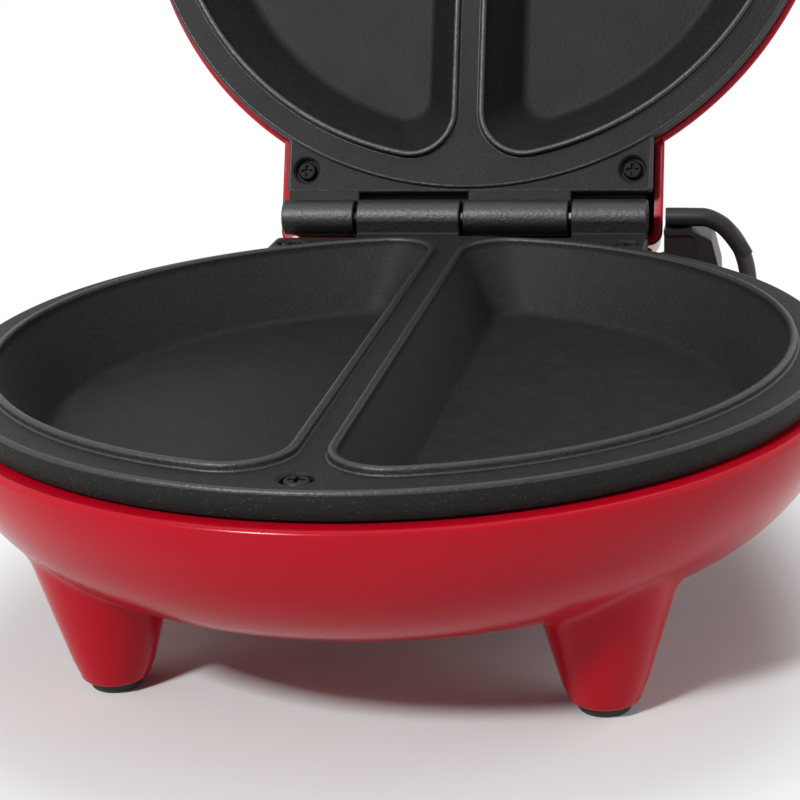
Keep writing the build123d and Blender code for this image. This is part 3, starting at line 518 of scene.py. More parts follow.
print("a well's outline has", len(half_round(WELL_GAP, WELL_R, WELL_CORNER, 1, 0)), "points")

# %% [markdown]
# A well has a raised lip, sloping walls and a rounded foot, because a casting needs
# draft to leave its mould, and a rounded foot is easy to wipe. The lip, the wall and the
# floor are one run of rows, so the reflection slides down without a break. Underneath,
# the same outline a wall's thickness out closes the casting.

# %% Wells
PLATE_WALL = 2.5
LIP_W, LIP_H, LIP_ROUND, LIP_ROOT = 1.8, 1.8, 0.8, 0.45
FLOOR_BLEND, WALL_RUN = 1.75, 19.0
UNDER_OUT, UNDER_FLOOR_OUT = 3.0, 1.33


def well(skin, side):
    """Lip, wall and floor of one well, then its underside. Returns the two root rows."""
    def lip(out, z):
        return half_round(WELL_GAP - out, WELL_R + out, WELL_CORNER + out, side, z)

    root = [(LIP_W + LIP_ROOT * (1 - math.sin(a)), LIP_ROOT * (1 - math.cos(a)))
            for a in (0, math.pi / 6, math.pi / 3, math.pi / 2)]
    rows = [lip(out, z) for out, z in root]
    rows += [lip(LIP_W - LIP_ROUND + LIP_ROUND * math.cos(a), LIP_H - LIP_ROUND + LIP_ROUND * math.sin(a))
             for a in (math.pi / 10 * i for i in range(6))]
    rows += [lip(out, LIP_H - down) for out, down in round_steps(LIP_ROUND, 5)]
    mouth = lip(0, 0)
    floor = half_round(FLOOR_GAP, FLOOR_R, FLOOR_CORNER, side, -WELL_DEPTH)
    top, lip_end = skin.sweep(rows, shiny=True)
    rows = [[skin.points[number] for number in lip_end]]
    rows.append(between(lip(0, 0.3), between(mouth, floor, 0.015), 0.45))
    rows += [between(mouth, floor, share) for share in (0.04, 0.2, 0.4, 0.6, 0.8)]
    wall_end = between(mouth, floor, 1 - FLOOR_BLEND / WALL_RUN)
    floor_start = half_round(FLOOR_GAP + FLOOR_BLEND, FLOOR_R - FLOOR_BLEND,
                             FLOOR_CORNER - FLOOR_BLEND, side, -WELL_DEPTH)
    for i in range(6):
        share = i / 5
        rows.append(between(between(wall_end, floor, share), between(floor, floor_start, share), share))
    _, foot = skin.sweep(rows)
    skin.fill(foot)
    under_top = half_round(WELL_GAP - UNDER_OUT, WELL_R + UNDER_OUT, WELL_CORNER + UNDER_OUT, side, 0)
    under_foot = half_round(FLOOR_GAP - UNDER_FLOOR_OUT, FLOOR_R + UNDER_FLOOR_OUT,
                            FLOOR_CORNER + UNDER_FLOOR_OUT, side, -WELL_DEPTH - PLATE_WALL)
    start = PLATE_WALL / (WELL_DEPTH + PLATE_WALL)
    under, low = skin.sweep([between(under_top, under_foot, start), under_foot])
    skin.fill(low)
    return top, under


print("wells are", WELL_DEPTH, "mm deep under a lip of", LIP_H, "mm")

# %% [markdown]
# Three pan-head screws hold a plate: one in front on the divider and one in each ear.
# Each sits in a turned seat, which is a few rings at falling heights.

# %% Screw seats
EAR_DROP = 0.8
SCREW_PLACES = ((0.0, -92.5, 0.0), (-46.8, 94.2, -EAR_DROP), (46.8, 94.2, -EAR_DROP))
RECESS = ((4.15, 0.0), (4.0, 0.07), (3.5, 0.55), (3.4, 0.7), (3.4, 1.7), (3.3, 1.8), (1.85, 1.8), (1.85, 4.5))


def screw_recess(skin, x, y, top):
    """A countersunk seat for a pan-head screw. Returns its rim row."""
    rim, _ = skin.sweep([ring(radius, top - down, 48, x, y) for radius, down in RECESS])
    return rim


print(len(SCREW_PLACES), "screw seats,", 2 * RECESS[0][0], "mm wide")

# %% [markdown]
# Behind the disc the casting runs on as a flat ear, a little lower than the disc, and
# carries the barrels of the hinge. The barrels of the two plates take turns along one
# pin. Their rounds get the second, glossier finish, since they are rubbed most.

# %% Ear and hinge barrels
SKIRT_H, SKIRT_WALL = 6.0, 3.0
EAR_HALF, EAR_BACK, EAR_CORNER, EAR_ROUND = 52.4, 100.7, 2.0, 0.9
EAR_FRONT, EAR_FULL, EAR_HIDDEN_R = 85.0, 90.0, 98.4
KNUCKLES = ((-29.9, -0.5), (30.9, 51.7))
KNUCKLE_R, KNUCKLE_ROUND, PIN_BORE = 5.0, 0.5, 1.56
ROOT_ROUND, ROOT_BACK, ROOT_TOP, ROOT_LOW = 0.8, 2.5, -4.2, -5.0
# The sheet under the hinge slot is painted shade: a thin near-black plate where the slot would only be in
# shade.
PAINTED_SHADE_SHEET = ((-50.3, 98.5), (50.3, 98.5), (50.3, 112.1), (-50.3, 112.1))
PAINTED_SHADE_SHEET_WALL, PAINTED_SHADE_SHEET_LAP, PAINTED_SHADE_SHEET_ROUND = 1.6, 0.5, 0.4


def ear_outline(inwards, z):
    """The flat ear behind the disc; its front edge stays hidden under the disc's skirt."""
    half, back, corner = EAR_HALF - inwards, EAR_BACK - inwards, max(0.05, EAR_CORNER - inwards)
    points = [(half, EAR_FRONT), (half, EAR_FULL)]
    points += arc((half - corner, back - corner), corner, 0, 90, 6)
    points += [(half - corner - 2 * (half - corner) * i / 40, back) for i in range(1, 40)]
    points += arc((corner - half, back - corner), corner, 90, 180, 6)
    points += [(-half, EAR_FULL), (-half, EAR_FRONT)]
    points += arc((0, 0), EAR_HIDDEN_R, 122, 58, 40)
    return [(px, py, z) for px, py in points]


def knuckle_outline():
    """Barrel of the hinge and the root that carries it, as (y, z)."""
    root_z, root_front = -EAR_DROP, EAR_BACK - 0.5
    blend_y = HINGE_BACK - KNUCKLE_R - ROOT_ROUND
    points = [(root_front, root_z), (blend_y, root_z)]
    points += arc((blend_y, root_z + ROOT_ROUND), ROOT_ROUND, -90, 0, 4)[1:]
    points += arc((HINGE_BACK, HINGE_UP), KNUCKLE_R, 180, -60, 40)
    points += [(HINGE_BACK + ROOT_BACK, ROOT_TOP)]
    points += arc((HINGE_BACK + ROOT_BACK - ROOT_ROUND, ROOT_TOP), ROOT_ROUND, 0, -90, 4)[1:]
    points += [(root_front, ROOT_LOW)]
    return points


def on_barrel(spot):
    """Whether a face's middle lies on the round of a hinge barrel."""
    return KNUCKLE_R - 0.4 < math.hypot(spot.y - HINGE_BACK, spot.z - HINGE_UP) < KNUCKLE_R


def hinge_end(skin):
    """Ear with its screw seats, a dark sheet under the barrels as painted shade in the slot, and the bored
    barrels.
    """
    ear = [(d, -EAR_DROP - down) for d, down in round_steps(EAR_ROUND)]
    ear += [(0, -5.7), (0.3, -SKIRT_H), (SKIRT_WALL, -SKIRT_H), (SKIRT_WALL, -EAR_DROP - PLATE_WALL)]
    ear_top, ear_under = skin.sweep([ear_outline(d, z) for d, z in ear], shiny=True)
    skin.fill(ear_top, *(screw_recess(skin, *spot) for spot in SCREW_PLACES[1:]))
    skin.fill(ear_under)
    # Painted shade: a near-black sheet under the barrels darkens the slot behind the ear.
    slab(skin, PAINTED_SHADE_SHEET, -SKIRT_H - PAINTED_SHADE_SHEET_WALL, -SKIRT_H + PAINTED_SHADE_SHEET_LAP, PAINTED_SHADE_SHEET_ROUND, lambda p, z: (*p, z))
    barrels = len(skin.faces)
    bore = arc((HINGE_BACK, HINGE_UP), PIN_BORE, 0, 360, 32)[:-1]
    for start, end in KNUCKLES:
        slab(skin, knuckle_outline(), start, end, KNUCKLE_ROUND, lambda p, x: (x, p[0], p[1]), bore)
    skin.shine_from(barrels, on_barrel)


print("each plate has", len(KNUCKLES), "barrels,", 2 * KNUCKLE_R, "mm thick")

# %% [markdown]
# The disc's edge is rounded above, bulges a little and turns in at the foot of its skirt.
# The flat face is filled last, between the rim, the two wells and the front screw seat.
# Both plates are the same casting, so one function makes both.

# %% Both plates
PLATE_R, EDGE_ROUND, SKIRT_DRAFT = 100.0, 0.9, 0.35
SKIRT_BULGE = ((99.82, -1.7), (PLATE_R, -3.0), (99.86, -4.4), (99.68, -5.6))
SKIRT_FOOT = ((99.4, -SKIRT_H), (97.3, -SKIRT_H), (97.0, -5.7), (97.0, -PLATE_WALL))


def cooking_plate():
    """Disc with two wells and its skirt, then the hinge end."""
    skin = Skin()
    edge = [(PLATE_R - SKIRT_DRAFT - d, -down) for d, down in round_steps(EDGE_ROUND, 5)]
    rim, corner = skin.sweep([ring(radius, z) for radius, z in edge], shiny=True)
    skirt = [[skin.points[number] for number in corner]]
    skirt += [ring(radius, z) for radius, z in (*SKIRT_BULGE, *SKIRT_FOOT)]
    _, inside = skin.sweep(skirt)
    wells = [well(skin, side) for side in (-1, 1)]
    front_screw = screw_recess(skin, *SCREW_PLACES[0])
    skin.fill(rim, wells[0][0], wells[1][0], front_screw)
    skin.fill(inside, wells[0][1], wells[1][1])
    hinge_end(skin)
    return skin


lower_plate = cooking_plate().piece("lower_cooking_plate", in_base, "base", "plate_coating", "lower_plate")
upper_plate = cooking_plate().piece("upper_cooking_plate", in_lid, "lid", "plate_coating", "upper_plate")

# %% [markdown]
# The housings are glossy red mouldings: a bowl under the lower plate and a dome over the
# upper one. Both are turned, so a profile is drawn once, as a ledge, a rounded rim and
# one cubic curve, and swept round. The inner surface lies a wall's thickness in.

# %% Turned shells
RIM_DROP, RIM_INNER, SHELL = 6.7, 96.0, 2.5
BASE_CURVE = ((103.0, -8.1), (103.0, -23.0), (88.0, -41.9), (67.5, -41.9))
LID_CURVE = ((101.3, -8.2), (99.0, -24.0), (70.0, -40.0), (0.0, -40.0))


def curve_at(handles, t):
    """A point of the cubic profile as (radius, z)."""
    shares = ((1 - t) ** 3, 3 * (1 - t) ** 2 * t, 3 * (1 - t) * t ** 2, t ** 3)
    return tuple(sum(share * handle[k] for share, handle in zip(shares, handles)) for k in (0, 1))


def height_on(handles, radius):
    """Height of the turned surface above a distance from the middle."""
    low, high = 0.0, 1.0
    if radius <= handles[3][0]:
        return handles[3][1]
    for _ in range(30):
        t = (low + high) / 2
        low, high = (t, high) if curve_at(handles, t)[0] > radius else (low, t)
    return curve_at(handles, t)[1]


def turned_shell(skin, handles):
    """Ledge, rounded rim and outer surface, then the inner surface a wall's thickness in."""
    profile = [(RIM_INNER, -RIM_DROP - SHELL), (RIM_INNER, -RIM_DROP - 0.3), (RIM_INNER + 0.3, -RIM_DROP)]
    rim, start = handles[0]
    edge = -RIM_DROP - start
    profile += arc((rim - edge, start), edge, 90, 0, 8)
    profile += [curve_at(handles, i / 40) for i in range(1, 41)]
    if handles[3][0] > 0:
        profile += [(handles[3][0] * share, handles[3][1]) for share in (0.96, 0.8, 0.4)]
    profile[-1] = (max(profile[-1][0], 0.3), profile[-1][1])
    _, middle = skin.sweep([ring(radius, z) for radius, z in profile])
    skin.fill(middle)
    inner = [(RIM_INNER, -RIM_DROP - SHELL)]
    for i in range(1, 21):
        radius, z = curve_at(handles, i / 20)
        scale = 1 + SHELL / handles[3][1]
        inner.append((max(0.3, min(radius - SHELL * (1 - i / 20), RIM_INNER + 4)), z * scale))
    _, middle = skin.sweep([ring(radius, z, 120) for radius, z in inner])
    skin.fill(middle)


print("bowl is", 2 * BASE_CURVE[0][0], "mm wide, dome", 2 * LID_CURVE[0][0], "mm")

# %% [markdown]
# Under the hinge each housing grows a square block. Its ledge, walls and rounded foot are
# an open U of points that changes with height. The upper block draws in as it deepens,
# and both start far enough back, high up, to stay clear of the wells.

# %% Rear blocks
BLOCK_DEPTH, BLOCK_END, BLOCK_ROUND, BLOCK_CORNER = 34.0, 114.76, 9.0, 4.0
LEDGE_ROUND, SIDE_ROUND = 0.6, 0.8
WALL_BREAK = (-20.0, -21.0)
BASE_BLOCK_HALF, LID_BLOCK_HALF, LID_DRAFT = 52.9, 55.2, 0.085
BASE_BLOCK_FRONTS, LID_BLOCK_FRONTS = (78, 62), (78, 35)


def block_row(half, back, corner, front, z):
    """Open U of the rear block at one height, from the left front round to the right front."""
    points = [(-half, front), (-half, (front + back) / 2)]
    points += arc((corner - half, back - corner), corner, 180, 90, 8)
    points += [((half - corner) * (i / 10 - 1), back) for i in range(1, 20)]
    points += arc((half - corner, back - corner), corner, 90, 0, 8)
    points += [(half, (front + back) / 2), (half, front)]
    return [(x, y, z) for x, y in points]


def rear_block(skin, half, fronts, draft=0.0):
    """Ledge, walls and rounded foot of the block under the hinge. The draft draws its sides in."""
    front, low_front = fronts
    rows = [block_row(half - SHELL, BLOCK_END - SHELL, 2, front, z) for z in (-RIM_DROP - 6, -RIM_DROP - 0.2)]
    rows += [block_row(half - d, BLOCK_END - d, BLOCK_CORNER, front, -RIM_DROP - down)
             for d, down in round_steps(LEDGE_ROUND)]
    for z, starts in zip(WALL_BREAK, fronts):
        rows.append(block_row(half + draft * (z + RIM_DROP), BLOCK_END, BLOCK_CORNER, starts, z))
    for i in range(13):
        angle = math.pi / 2 * i / 12
        z = -BLOCK_DEPTH + BLOCK_ROUND * (1 - math.sin(angle))
        back = BLOCK_END - BLOCK_ROUND * (1 - math.cos(angle))
        close = max(0.0, SIDE_ROUND - (z + BLOCK_DEPTH))
        drawn_in = SIDE_ROUND - math.sqrt(SIDE_ROUND ** 2 - close ** 2) + draft * (-z - RIM_DROP)
        rows.append(block_row(half - drawn_in, back, BLOCK_CORNER, low_front, z))
    _, low = skin.sweep(rows, closed=False)
    skin.fill(low)


print("blocks are", 2 * BASE_BLOCK_HALF, "and", 2 * LID_BLOCK_HALF, "mm wide")

# %% [markdown]
# A leg is a cone that runs into the bowl or the block. The blend between them is found
# point by point: from the cone, through the corner where the two surfaces would meet,
# and out along the body. The rear legs stay flush with the walls of the block.

# %% Legs
LEG_FRONT, LEG_REAR = (53.8, -54.5), (36.0, 98.0)
LEG_R, LEG_SLOPE, LEG_END_ROUND = 7.9, 0.28, 1.2
LEG_BOTTOM, LEG_REACH = -61.7, 44.0
LEG_BLEND, BLEND_STEP, BLEND_SUNK, FLUSH = 2.6, 0.05, 0.06, 0.16


def under_side(x, y):
    """Lowest surface of bowl and block over a point, where a leg runs into it."""
    bowl = height_on(BASE_CURVE, math.hypot(x, y))
    if math.hypot(x, y) > BASE_CURVE[0][0]:
        bowl = 0.0
    flat_end = BLOCK_END - BLOCK_ROUND
    block = 0.0
    if abs(x) < BASE_BLOCK_HALF and 60 < y < BLOCK_END:
        over = max(0.0, y - flat_end)
        block = -BLOCK_DEPTH + BLOCK_ROUND - math.sqrt(BLOCK_ROUND ** 2 - over ** 2)
    return min(bowl, block)


def leg(skin, x, y):
    """One leg: rounded foot, cone, and the blend out onto the bowl."""
    steps = 72
    aims = [(math.cos(2 * math.pi * i / steps), math.sin(2 * math.pi * i / steps)) for i in range(steps)]

    def on_cone(aim, height):
        """A point of the cone. A rear leg stays flush with the walls of the block."""
        radius = LEG_R + LEG_SLOPE * height
        px, py = x + radius * aim[0], y + radius * aim[1]
        if y > 0:
            px = max(-BASE_BLOCK_HALF + FLUSH, min(BASE_BLOCK_HALF - FLUSH, px))
            py = min(BLOCK_END - FLUSH, py)
        return Vector((px, py, LEG_BOTTOM + height))

    def meeting(aim):
        """Height at which the cone runs into the body."""
        low, high = 0.0, LEG_REACH
        for _ in range(26):
            middle = (low + high) / 2
            point = on_cone(aim, middle)
            low, high = (middle, high) if point.z < under_side(point.x, point.y) else (low, middle)
        return low

    def on_bowl(start, aim):
        """Where the blend ends on the body, a blend's length out from the corner."""
        reach = 0.0
        point = start.copy()
        while (point - start).length < LEG_BLEND and reach < 2 * LEG_BLEND:
            reach += BLEND_STEP
            px, py = start.x + reach * aim[0], start.y + reach * aim[1]
            there = Vector((px, py, under_side(px, py)))
            if there.z > point.z + LEG_BLEND:
                break
            point = there
        return point + Vector((0, 0, BLEND_SUNK))

    tops = [meeting(aim) for aim in aims]
    rows = [[on_cone(aim, 0) - Vector((aim[0] * d, aim[1] * d, -down)) for aim in aims]
            for d, down in [(LEG_R * 0.75, 0.0), *round_steps(LEG_END_ROUND)]]
    along = 1 / math.hypot(1, LEG_SLOPE)
    for share in (0.15, 0.35, 0.55, 0.75, 0.9):
        rows.append([on_cone(aim, LEG_END_ROUND + (top - LEG_BLEND * along - LEG_END_ROUND) * share)
                     for aim, top in zip(aims, tops)])
    for i in range(9):
        share = i / 8
        points = []
        for aim, top in zip(aims, tops):
            start, corner = on_cone(aim, top - LEG_BLEND * along), on_cone(aim, top)
            end = on_bowl(corner, aim)
            points.append(start.lerp(corner, share).lerp(corner.lerp(end, share), share))
        rows.append(points)
    foot, _ = skin.sweep(rows)
    skin.fill(foot)


print("legs stand", LEG_FRONT, "and", LEG_REAR, "mm from the middle")

# %% [markdown]
# A housing is the sum of these parts: bowl, block and legs below, dome and block above.

# %% Both housings


def base_housing():
    """Bowl, rear block and four legs."""
    skin = Skin()
    turned_shell(skin, BASE_CURVE)
    rear_block(skin, BASE_BLOCK_HALF, BASE_BLOCK_FRONTS)
    for side in (-1, 1):
        leg(skin, side * LEG_FRONT[0], LEG_FRONT[1])
        leg(skin, side * LEG_REAR[0], LEG_REAR[1])
    return skin


def lid_housing():
    """Dome and its drafted rear block."""
    skin = Skin()
    turned_shell(skin, LID_CURVE)
    rear_block(skin, LID_BLOCK_HALF, LID_BLOCK_FRONTS, LID_DRAFT)
    return skin


lower_shell = base_housing().piece("lower_shell", in_base, "base", "housing_red", "base_housing")
upper_shell = lid_housing().piece("upper_shell", in_lid, "lid", "housing_red", "lid_housing")

# %% [markdown]
# No surface is one even colour. Each finish is built from a few shared effects that
# only make colours, roughness and height. They are node groups, so a finish is changed
# by its inputs, and the shader stays in the material where it can be seen.

# %% Tools for effects


def effect(name, inputs, outputs):
    """A node group with named sockets. Returns the group, its input node and its output node."""
    group = bpy.data.node_groups.new(name, "ShaderNodeTree")
    for label, kind, value in inputs:
        socket = group.interface.new_socket(name=label, in_out="INPUT", socket_type="NodeSocket" + kind)
        socket.default_value = value
    for label, kind in outputs:
        group.interface.new_socket(name=label, in_out="OUTPUT", socket_type="NodeSocket" + kind)
    return group, group.nodes.new("NodeGroupInput"), group.nodes.new("NodeGroupOutput")


def maths(tree, operation, first, second):
    """A maths node on two values, each a number or an output."""
    made = node(tree, "ShaderNodeMath", operation=operation)
    for socket, value in zip(made.inputs, (first, second)):
        if isinstance(value, (int, float)):
            socket.default_value = value
        else:
            wire(tree, value, socket)
    return made.outputs[0]


def noise(tree, place, scale, detail, roughness=0.55):
    """Fractal noise, 0 to 1 about 0.5, at a number of waves per metre."""
    made = node(tree, "ShaderNodeTexNoise", {"Detail": detail, "Roughness": roughness})
    wire(tree, place, made.inputs["Vector"])
    if isinstance(scale, (int, float)):
        made.inputs["Scale"].default_value = scale
    else:
        wire(tree, scale, made.inputs["Scale"])
    return made.outputs[0]


def mix_colour(tree, share, first, second, blend="MIX"):
    """Two colours mixed by an output or a number."""
    made = node(tree, "ShaderNodeMix", data_type="RGBA", blend_type=blend)
    for socket, value in ((made.inputs[0], share), (made.inputs[6], first), (made.inputs[7], second)):
        if hasattr(value, "is_linked"):
            wire(tree, value, socket)
        else:
            socket.default_value = value
    return made.outputs[2]


def toned(tree, colour, tone):
    """A colour made lighter or darker by a number."""
    grey = node(tree, "ShaderNodeCombineColor")
    for socket in grey.inputs[:3]:
        wire(tree, tone, socket)
    return mix_colour(tree, 1.0, colour, grey.outputs[0], "MULTIPLY")


print("effect tools ready")

# %% [markdown]
# A mould leaves slow changes of shade, a fine haze in the gloss and a shallow grain.

# %% Moulding grain


def moulding_grain():
    """Slow shade changes, fine haze and a shallow grain, as on moulded or cast skin."""
    group, given, made = effect("moulding_grain", [
        ("Colour", "Color", (0.5, 0.5, 0.5, 1)), ("Shade Spread", "Float", 0.06),
        ("Roughness", "Float", 0.4), ("Roughness Spread", "Float", 0.1),
        ("Waves Per Metre", "Float", 60.0), ("Grain Per Metre", "Float", 1500.0),
    ], [("Colour", "Color"), ("Roughness", "Float"), ("Height", "Float")])
    place = node(group, "ShaderNodeTexCoord").outputs["Object"]
    slow = noise(group, place, given.outputs["Waves Per Metre"], 3.0)
    fine = noise(group, place, given.outputs["Grain Per Metre"], 5.0, 0.65)
    swing = maths(group, "SUBTRACT", slow, 0.5)
    shade = maths(group, "ADD", 1.0, maths(group, "MULTIPLY", swing, given.outputs["Shade Spread"]))
    wire(group, toned(group, given.outputs["Colour"], shade), made.inputs["Colour"])
    haze = maths(group, "ADD", maths(group, "MULTIPLY", swing, 0.6),
                 maths(group, "MULTIPLY", maths(group, "SUBTRACT", fine, 0.5), 0.4))
    rough = maths(group, "ADD", given.outputs["Roughness"],
                  maths(group, "MULTIPLY", haze, given.outputs["Roughness Spread"]))
    wire(group, rough, made.inputs["Roughness"])
    wire(group, fine, made.inputs["Height"])
    return group


GRAIN = moulding_grain()
print(GRAIN.name, "has", len(GRAIN.nodes), "nodes")

# %% [markdown]
# The coating holds ground filler, seen as pale flecks, and dries with an orange peel.
# Voronoi cells place the flecks, and each cell keeps or drops its dot by its own colour.

# %% Coating speckle


def coating_speckle():
    """Pale flecks of filler in a baked coating, and the orange peel it dries with."""
    group, given, made = effect("coating_speckle", [
        ("Colour", "Color", (0.03, 0.03, 0.03, 1)), ("Fleck Colour", "Color", (0.2, 0.2, 0.2, 1)),
        ("Fleck Amount", "Float", 0.5), ("Flecks Per Metre", "Float", 1800.0),
    ], [("Colour", "Color"), ("Height", "Float")])
    place = node(group, "ShaderNodeTexCoord").outputs["Object"]
    cells = node(group, "ShaderNodeTexVoronoi", {"Randomness": 1.0})
    wire(group, place, cells.inputs["Vector"])
    wire(group, given.outputs["Flecks Per Metre"], cells.inputs["Scale"])
    dot = node(group, "ShaderNodeMapRange", {"From Min": 0.34, "From Max": 0.12})
    wire(group, cells.outputs["Distance"], dot.inputs["Value"])
    pick = node(group, "ShaderNodeSeparateColor")
    wire(group, cells.outputs["Color"], pick.inputs[0])
    kept = maths(group, "GREATER_THAN", pick.outputs[0], 0.45)
    strength = maths(group, "MULTIPLY", kept, pick.outputs[1])
    fleck = maths(group, "MULTIPLY", maths(group, "MULTIPLY", dot.outputs[0], strength),
                  given.outputs["Fleck Amount"])
    wire(group, mix_colour(group, fleck, given.outputs["Colour"], given.outputs["Fleck Colour"]),
         made.inputs["Colour"])
    peel = noise(group, place, 900.0, 3.0)
    wire(group, maths(group, "ADD", peel, maths(group, "MULTIPLY", fleck, 0.6)), made.inputs["Height"])
    return group


SPECKLE = coating_speckle()
print(SPECKLE.name, "has", len(SPECKLE.nodes), "nodes")

# %% [markdown]
# Dust settles on what faces up, so the upward part of the normal sets how much there is.

# %% Settled dust


def settled_dust():
    """A thin pale film where a surface faces up, broken by noise."""
    group, given, made = effect("settled_dust", [
        ("Colour", "Color", (0.5, 0.5, 0.5, 1)), ("Roughness", "Float", 0.4),
        ("Dust Colour", "Color", (0.6, 0.58, 0.55, 1)), ("Amount", "Float", 0.03),
    ], [("Colour", "Color"), ("Roughness", "Float")])
    facing = node(group, "ShaderNodeSeparateXYZ")
    wire(group, node(group, "ShaderNodeNewGeometry").outputs["Normal"], facing.inputs[0])
    up = node(group, "ShaderNodeMapRange", {"From Min": 0.2, "From Max": 1.0})
    wire(group, facing.outputs["Z"], up.inputs["Value"])
    place = node(group, "ShaderNodeTexCoord").outputs["Object"]
    patches = node(group, "ShaderNodeMapRange", {"From Min": 0.35, "From Max": 0.65})
    wire(group, noise(group, place, 220.0, 8.0, 0.7), patches.inputs["Value"])
    share = maths(group, "MULTIPLY", maths(group, "MULTIPLY", up.outputs[0], patches.outputs[0]),
                  given.outputs["Amount"])
    wire(group, mix_colour(group, share, given.outputs["Colour"], given.outputs["Dust Colour"]),
         made.inputs["Colour"])
    wire(group, maths(group, "ADD", given.outputs["Roughness"], share), made.inputs["Roughness"])
    return group


DUST = settled_dust()
print(DUST.name, "has", len(DUST.nodes), "nodes")

# %% [markdown]
# Drawing and turning leave fine lines. Noise that is stretched along one axis gives them.

# %% Drawn lines


def drawn_lines():
    """Fine lines of drawing or turning along one axis, for metals."""
    group, given, made = effect("drawn_lines", [
        ("Colour", "Color", (0.5, 0.5, 0.5, 1)), ("Roughness", "Float", 0.3),
        ("Roughness Spread", "Float", 0.15), ("Lines Per Metre", "Float", 3000.0),
        ("Stretch", "Vector", (0.05, 1.0, 1.0)),
    ], [("Colour", "Color"), ("Roughness", "Float"), ("Height", "Float")])
    place = node(group, "ShaderNodeTexCoord").outputs["Object"]
    stretched = node(group, "ShaderNodeVectorMath", operation="MULTIPLY")
    wire(group, place, stretched.inputs[0])
    wire(group, given.outputs["Stretch"], stretched.inputs[1])
    lines = noise(group, stretched.outputs[0], given.outputs["Lines Per Metre"], 3.0, 0.7)
    stain = noise(group, place, 90.0, 4.0)
    tone = maths(group, "ADD", 0.82, maths(group, "MULTIPLY", stain, 0.36))
    wire(group, toned(group, given.outputs["Colour"], tone), made.inputs["Colour"])
    swing = maths(group, "SUBTRACT", maths(group, "ADD", maths(group, "MULTIPLY", lines, 0.6),
                                           maths(group, "MULTIPLY", stain, 0.4)), 0.5)
    wire(group, maths(group, "ADD", given.outputs["Roughness"],
                      maths(group, "MULTIPLY", swing, given.outputs["Roughness Spread"])),
         made.inputs["Roughness"])
    wire(group, lines, made.inputs["Height"])
    return group


LINES = drawn_lines()
print(LINES.name, "has", len(LINES.nodes), "nodes")

# %% [markdown]
# The finishes themselves. The red is a glossy moulding: full colour, low roughness and
# a weak mirror, so that it stays red where it faces the white studio. The plates are
# semi-matt charcoal with flecks, a little glossier where edges and barrels were rubbed.
# Metals are directional and bright, but for the dark screws; rubber is dull and slightly
# dusty. Each finish carries its own bump, well under a millimetre high.

# %% A material around one shader


def use(tree, group, sockets):
    """An effect in a material, with its inputs set."""
    made = node(tree, "ShaderNodeGroup", node_tree=group)
    for name, value in sockets.items():
        if hasattr(value, "is_linked"):
            wire(tree, value, made.inputs[name])
        else:
            made.inputs[name].default_value = value
    return made


def finish(new, colour, roughness, height, bump, constants):
    """Joins outputs, constants and a bump in metres to the shader of a blank material."""
    material, tree, shader = new
    relief = node(tree, "ShaderNodeBump", {"Strength": 1.0, "Distance": bump})
    wire(tree, height, relief.inputs["Height"])
    wire(tree, relief.outputs[0], shader.inputs["Normal"])
    wire(tree, colour, shader.inputs["Base Color"])
    wire(tree, roughness, shader.inputs["Roughness"])
    for socket, value in constants.items():
        shader.inputs[socket].default_value = value
    return material


def blank(name):
    """A new material with only its shader. Returns material, tree and shader."""
    material = bpy.data.materials.new(name)
    material.use_nodes = True
    tree = material.node_tree
    tree.nodes.clear()
    shader = node(tree, "ShaderNodeBsdfPrincipled")
    wire(tree, shader.outputs[0], node(tree, "ShaderNodeOutputMaterial").inputs["Surface"])
    return material, tree, shader


print("material tools ready")

# %% [markdown]
# Three kinds of finish cover the machine: moulded or cast, metal, and the plates'
# coating. What varies over the surface comes from the effects; what is steady, such as
# the strength of the mirror, is set on the shader's own sockets.

# %% Kinds of finish
COATING_COLOUR, FLECK_COLOUR, COATING_BUMP = (0.0045, 0.0046, 0.0045, 1), (0.1, 0.1, 0.1, 1), 0.00016


def moulded(name, colour, roughness, spread, bump, dust=0.03, grain=1500.0, **constants):
    """A moulded, cast or fired finish."""
    new = blank(name)
    tree = new[1]
    grain_node = use(tree, GRAIN, {"Colour": (*colour, 1), "Roughness": roughness, "Shade Spread": 0.08,
                                   "Roughness Spread": spread, "Grain Per Metre": grain})
    film = use(tree, DUST, {"Colour": grain_node.outputs["Colour"], "Amount": dust,
                            "Roughness": grain_node.outputs["Roughness"]})
    settings = {key.replace("_", " "): value for key, value in constants.items()}
    return finish(new, film.outputs["Colour"], film.outputs["Roughness"], grain_node.outputs["Height"],
                  bump, settings)


def metal(name, colour, roughness, spread, bump, stretch=(0.05, 1.0, 1.0)):
    """A drawn or turned metal finish."""
    new = blank(name)
    lines = use(new[1], LINES, {"Colour": (*colour, 1), "Roughness": roughness,
                                "Roughness Spread": spread, "Stretch": stretch})
    return finish(new, lines.outputs["Colour"], lines.outputs["Roughness"], lines.outputs["Height"],
                  bump, {"Metallic": 1.0})


def non_stick(name, roughness, specular):
    """The plates' coating: moulding grain under flecks under a trace of dust."""
    new = blank(name)
    tree = new[1]
    grain_node = use(tree, GRAIN, {"Colour": COATING_COLOUR, "Roughness": roughness,
                                   "Roughness Spread": 0.2, "Shade Spread": 0.5})
    flecks = use(tree, SPECKLE, {"Colour": grain_node.outputs["Colour"],
                                 "Fleck Colour": FLECK_COLOUR, "Fleck Amount": 0.45})
    film = use(tree, DUST, {"Colour": flecks.outputs["Colour"], "Amount": 0.008,
                            "Roughness": grain_node.outputs["Roughness"]})
    return finish(new, film.outputs["Colour"], film.outputs["Roughness"], flecks.outputs["Height"],
                  COATING_BUMP, {"Specular IOR Level": specular})


print("moulded, metal and coated finishes can be made")
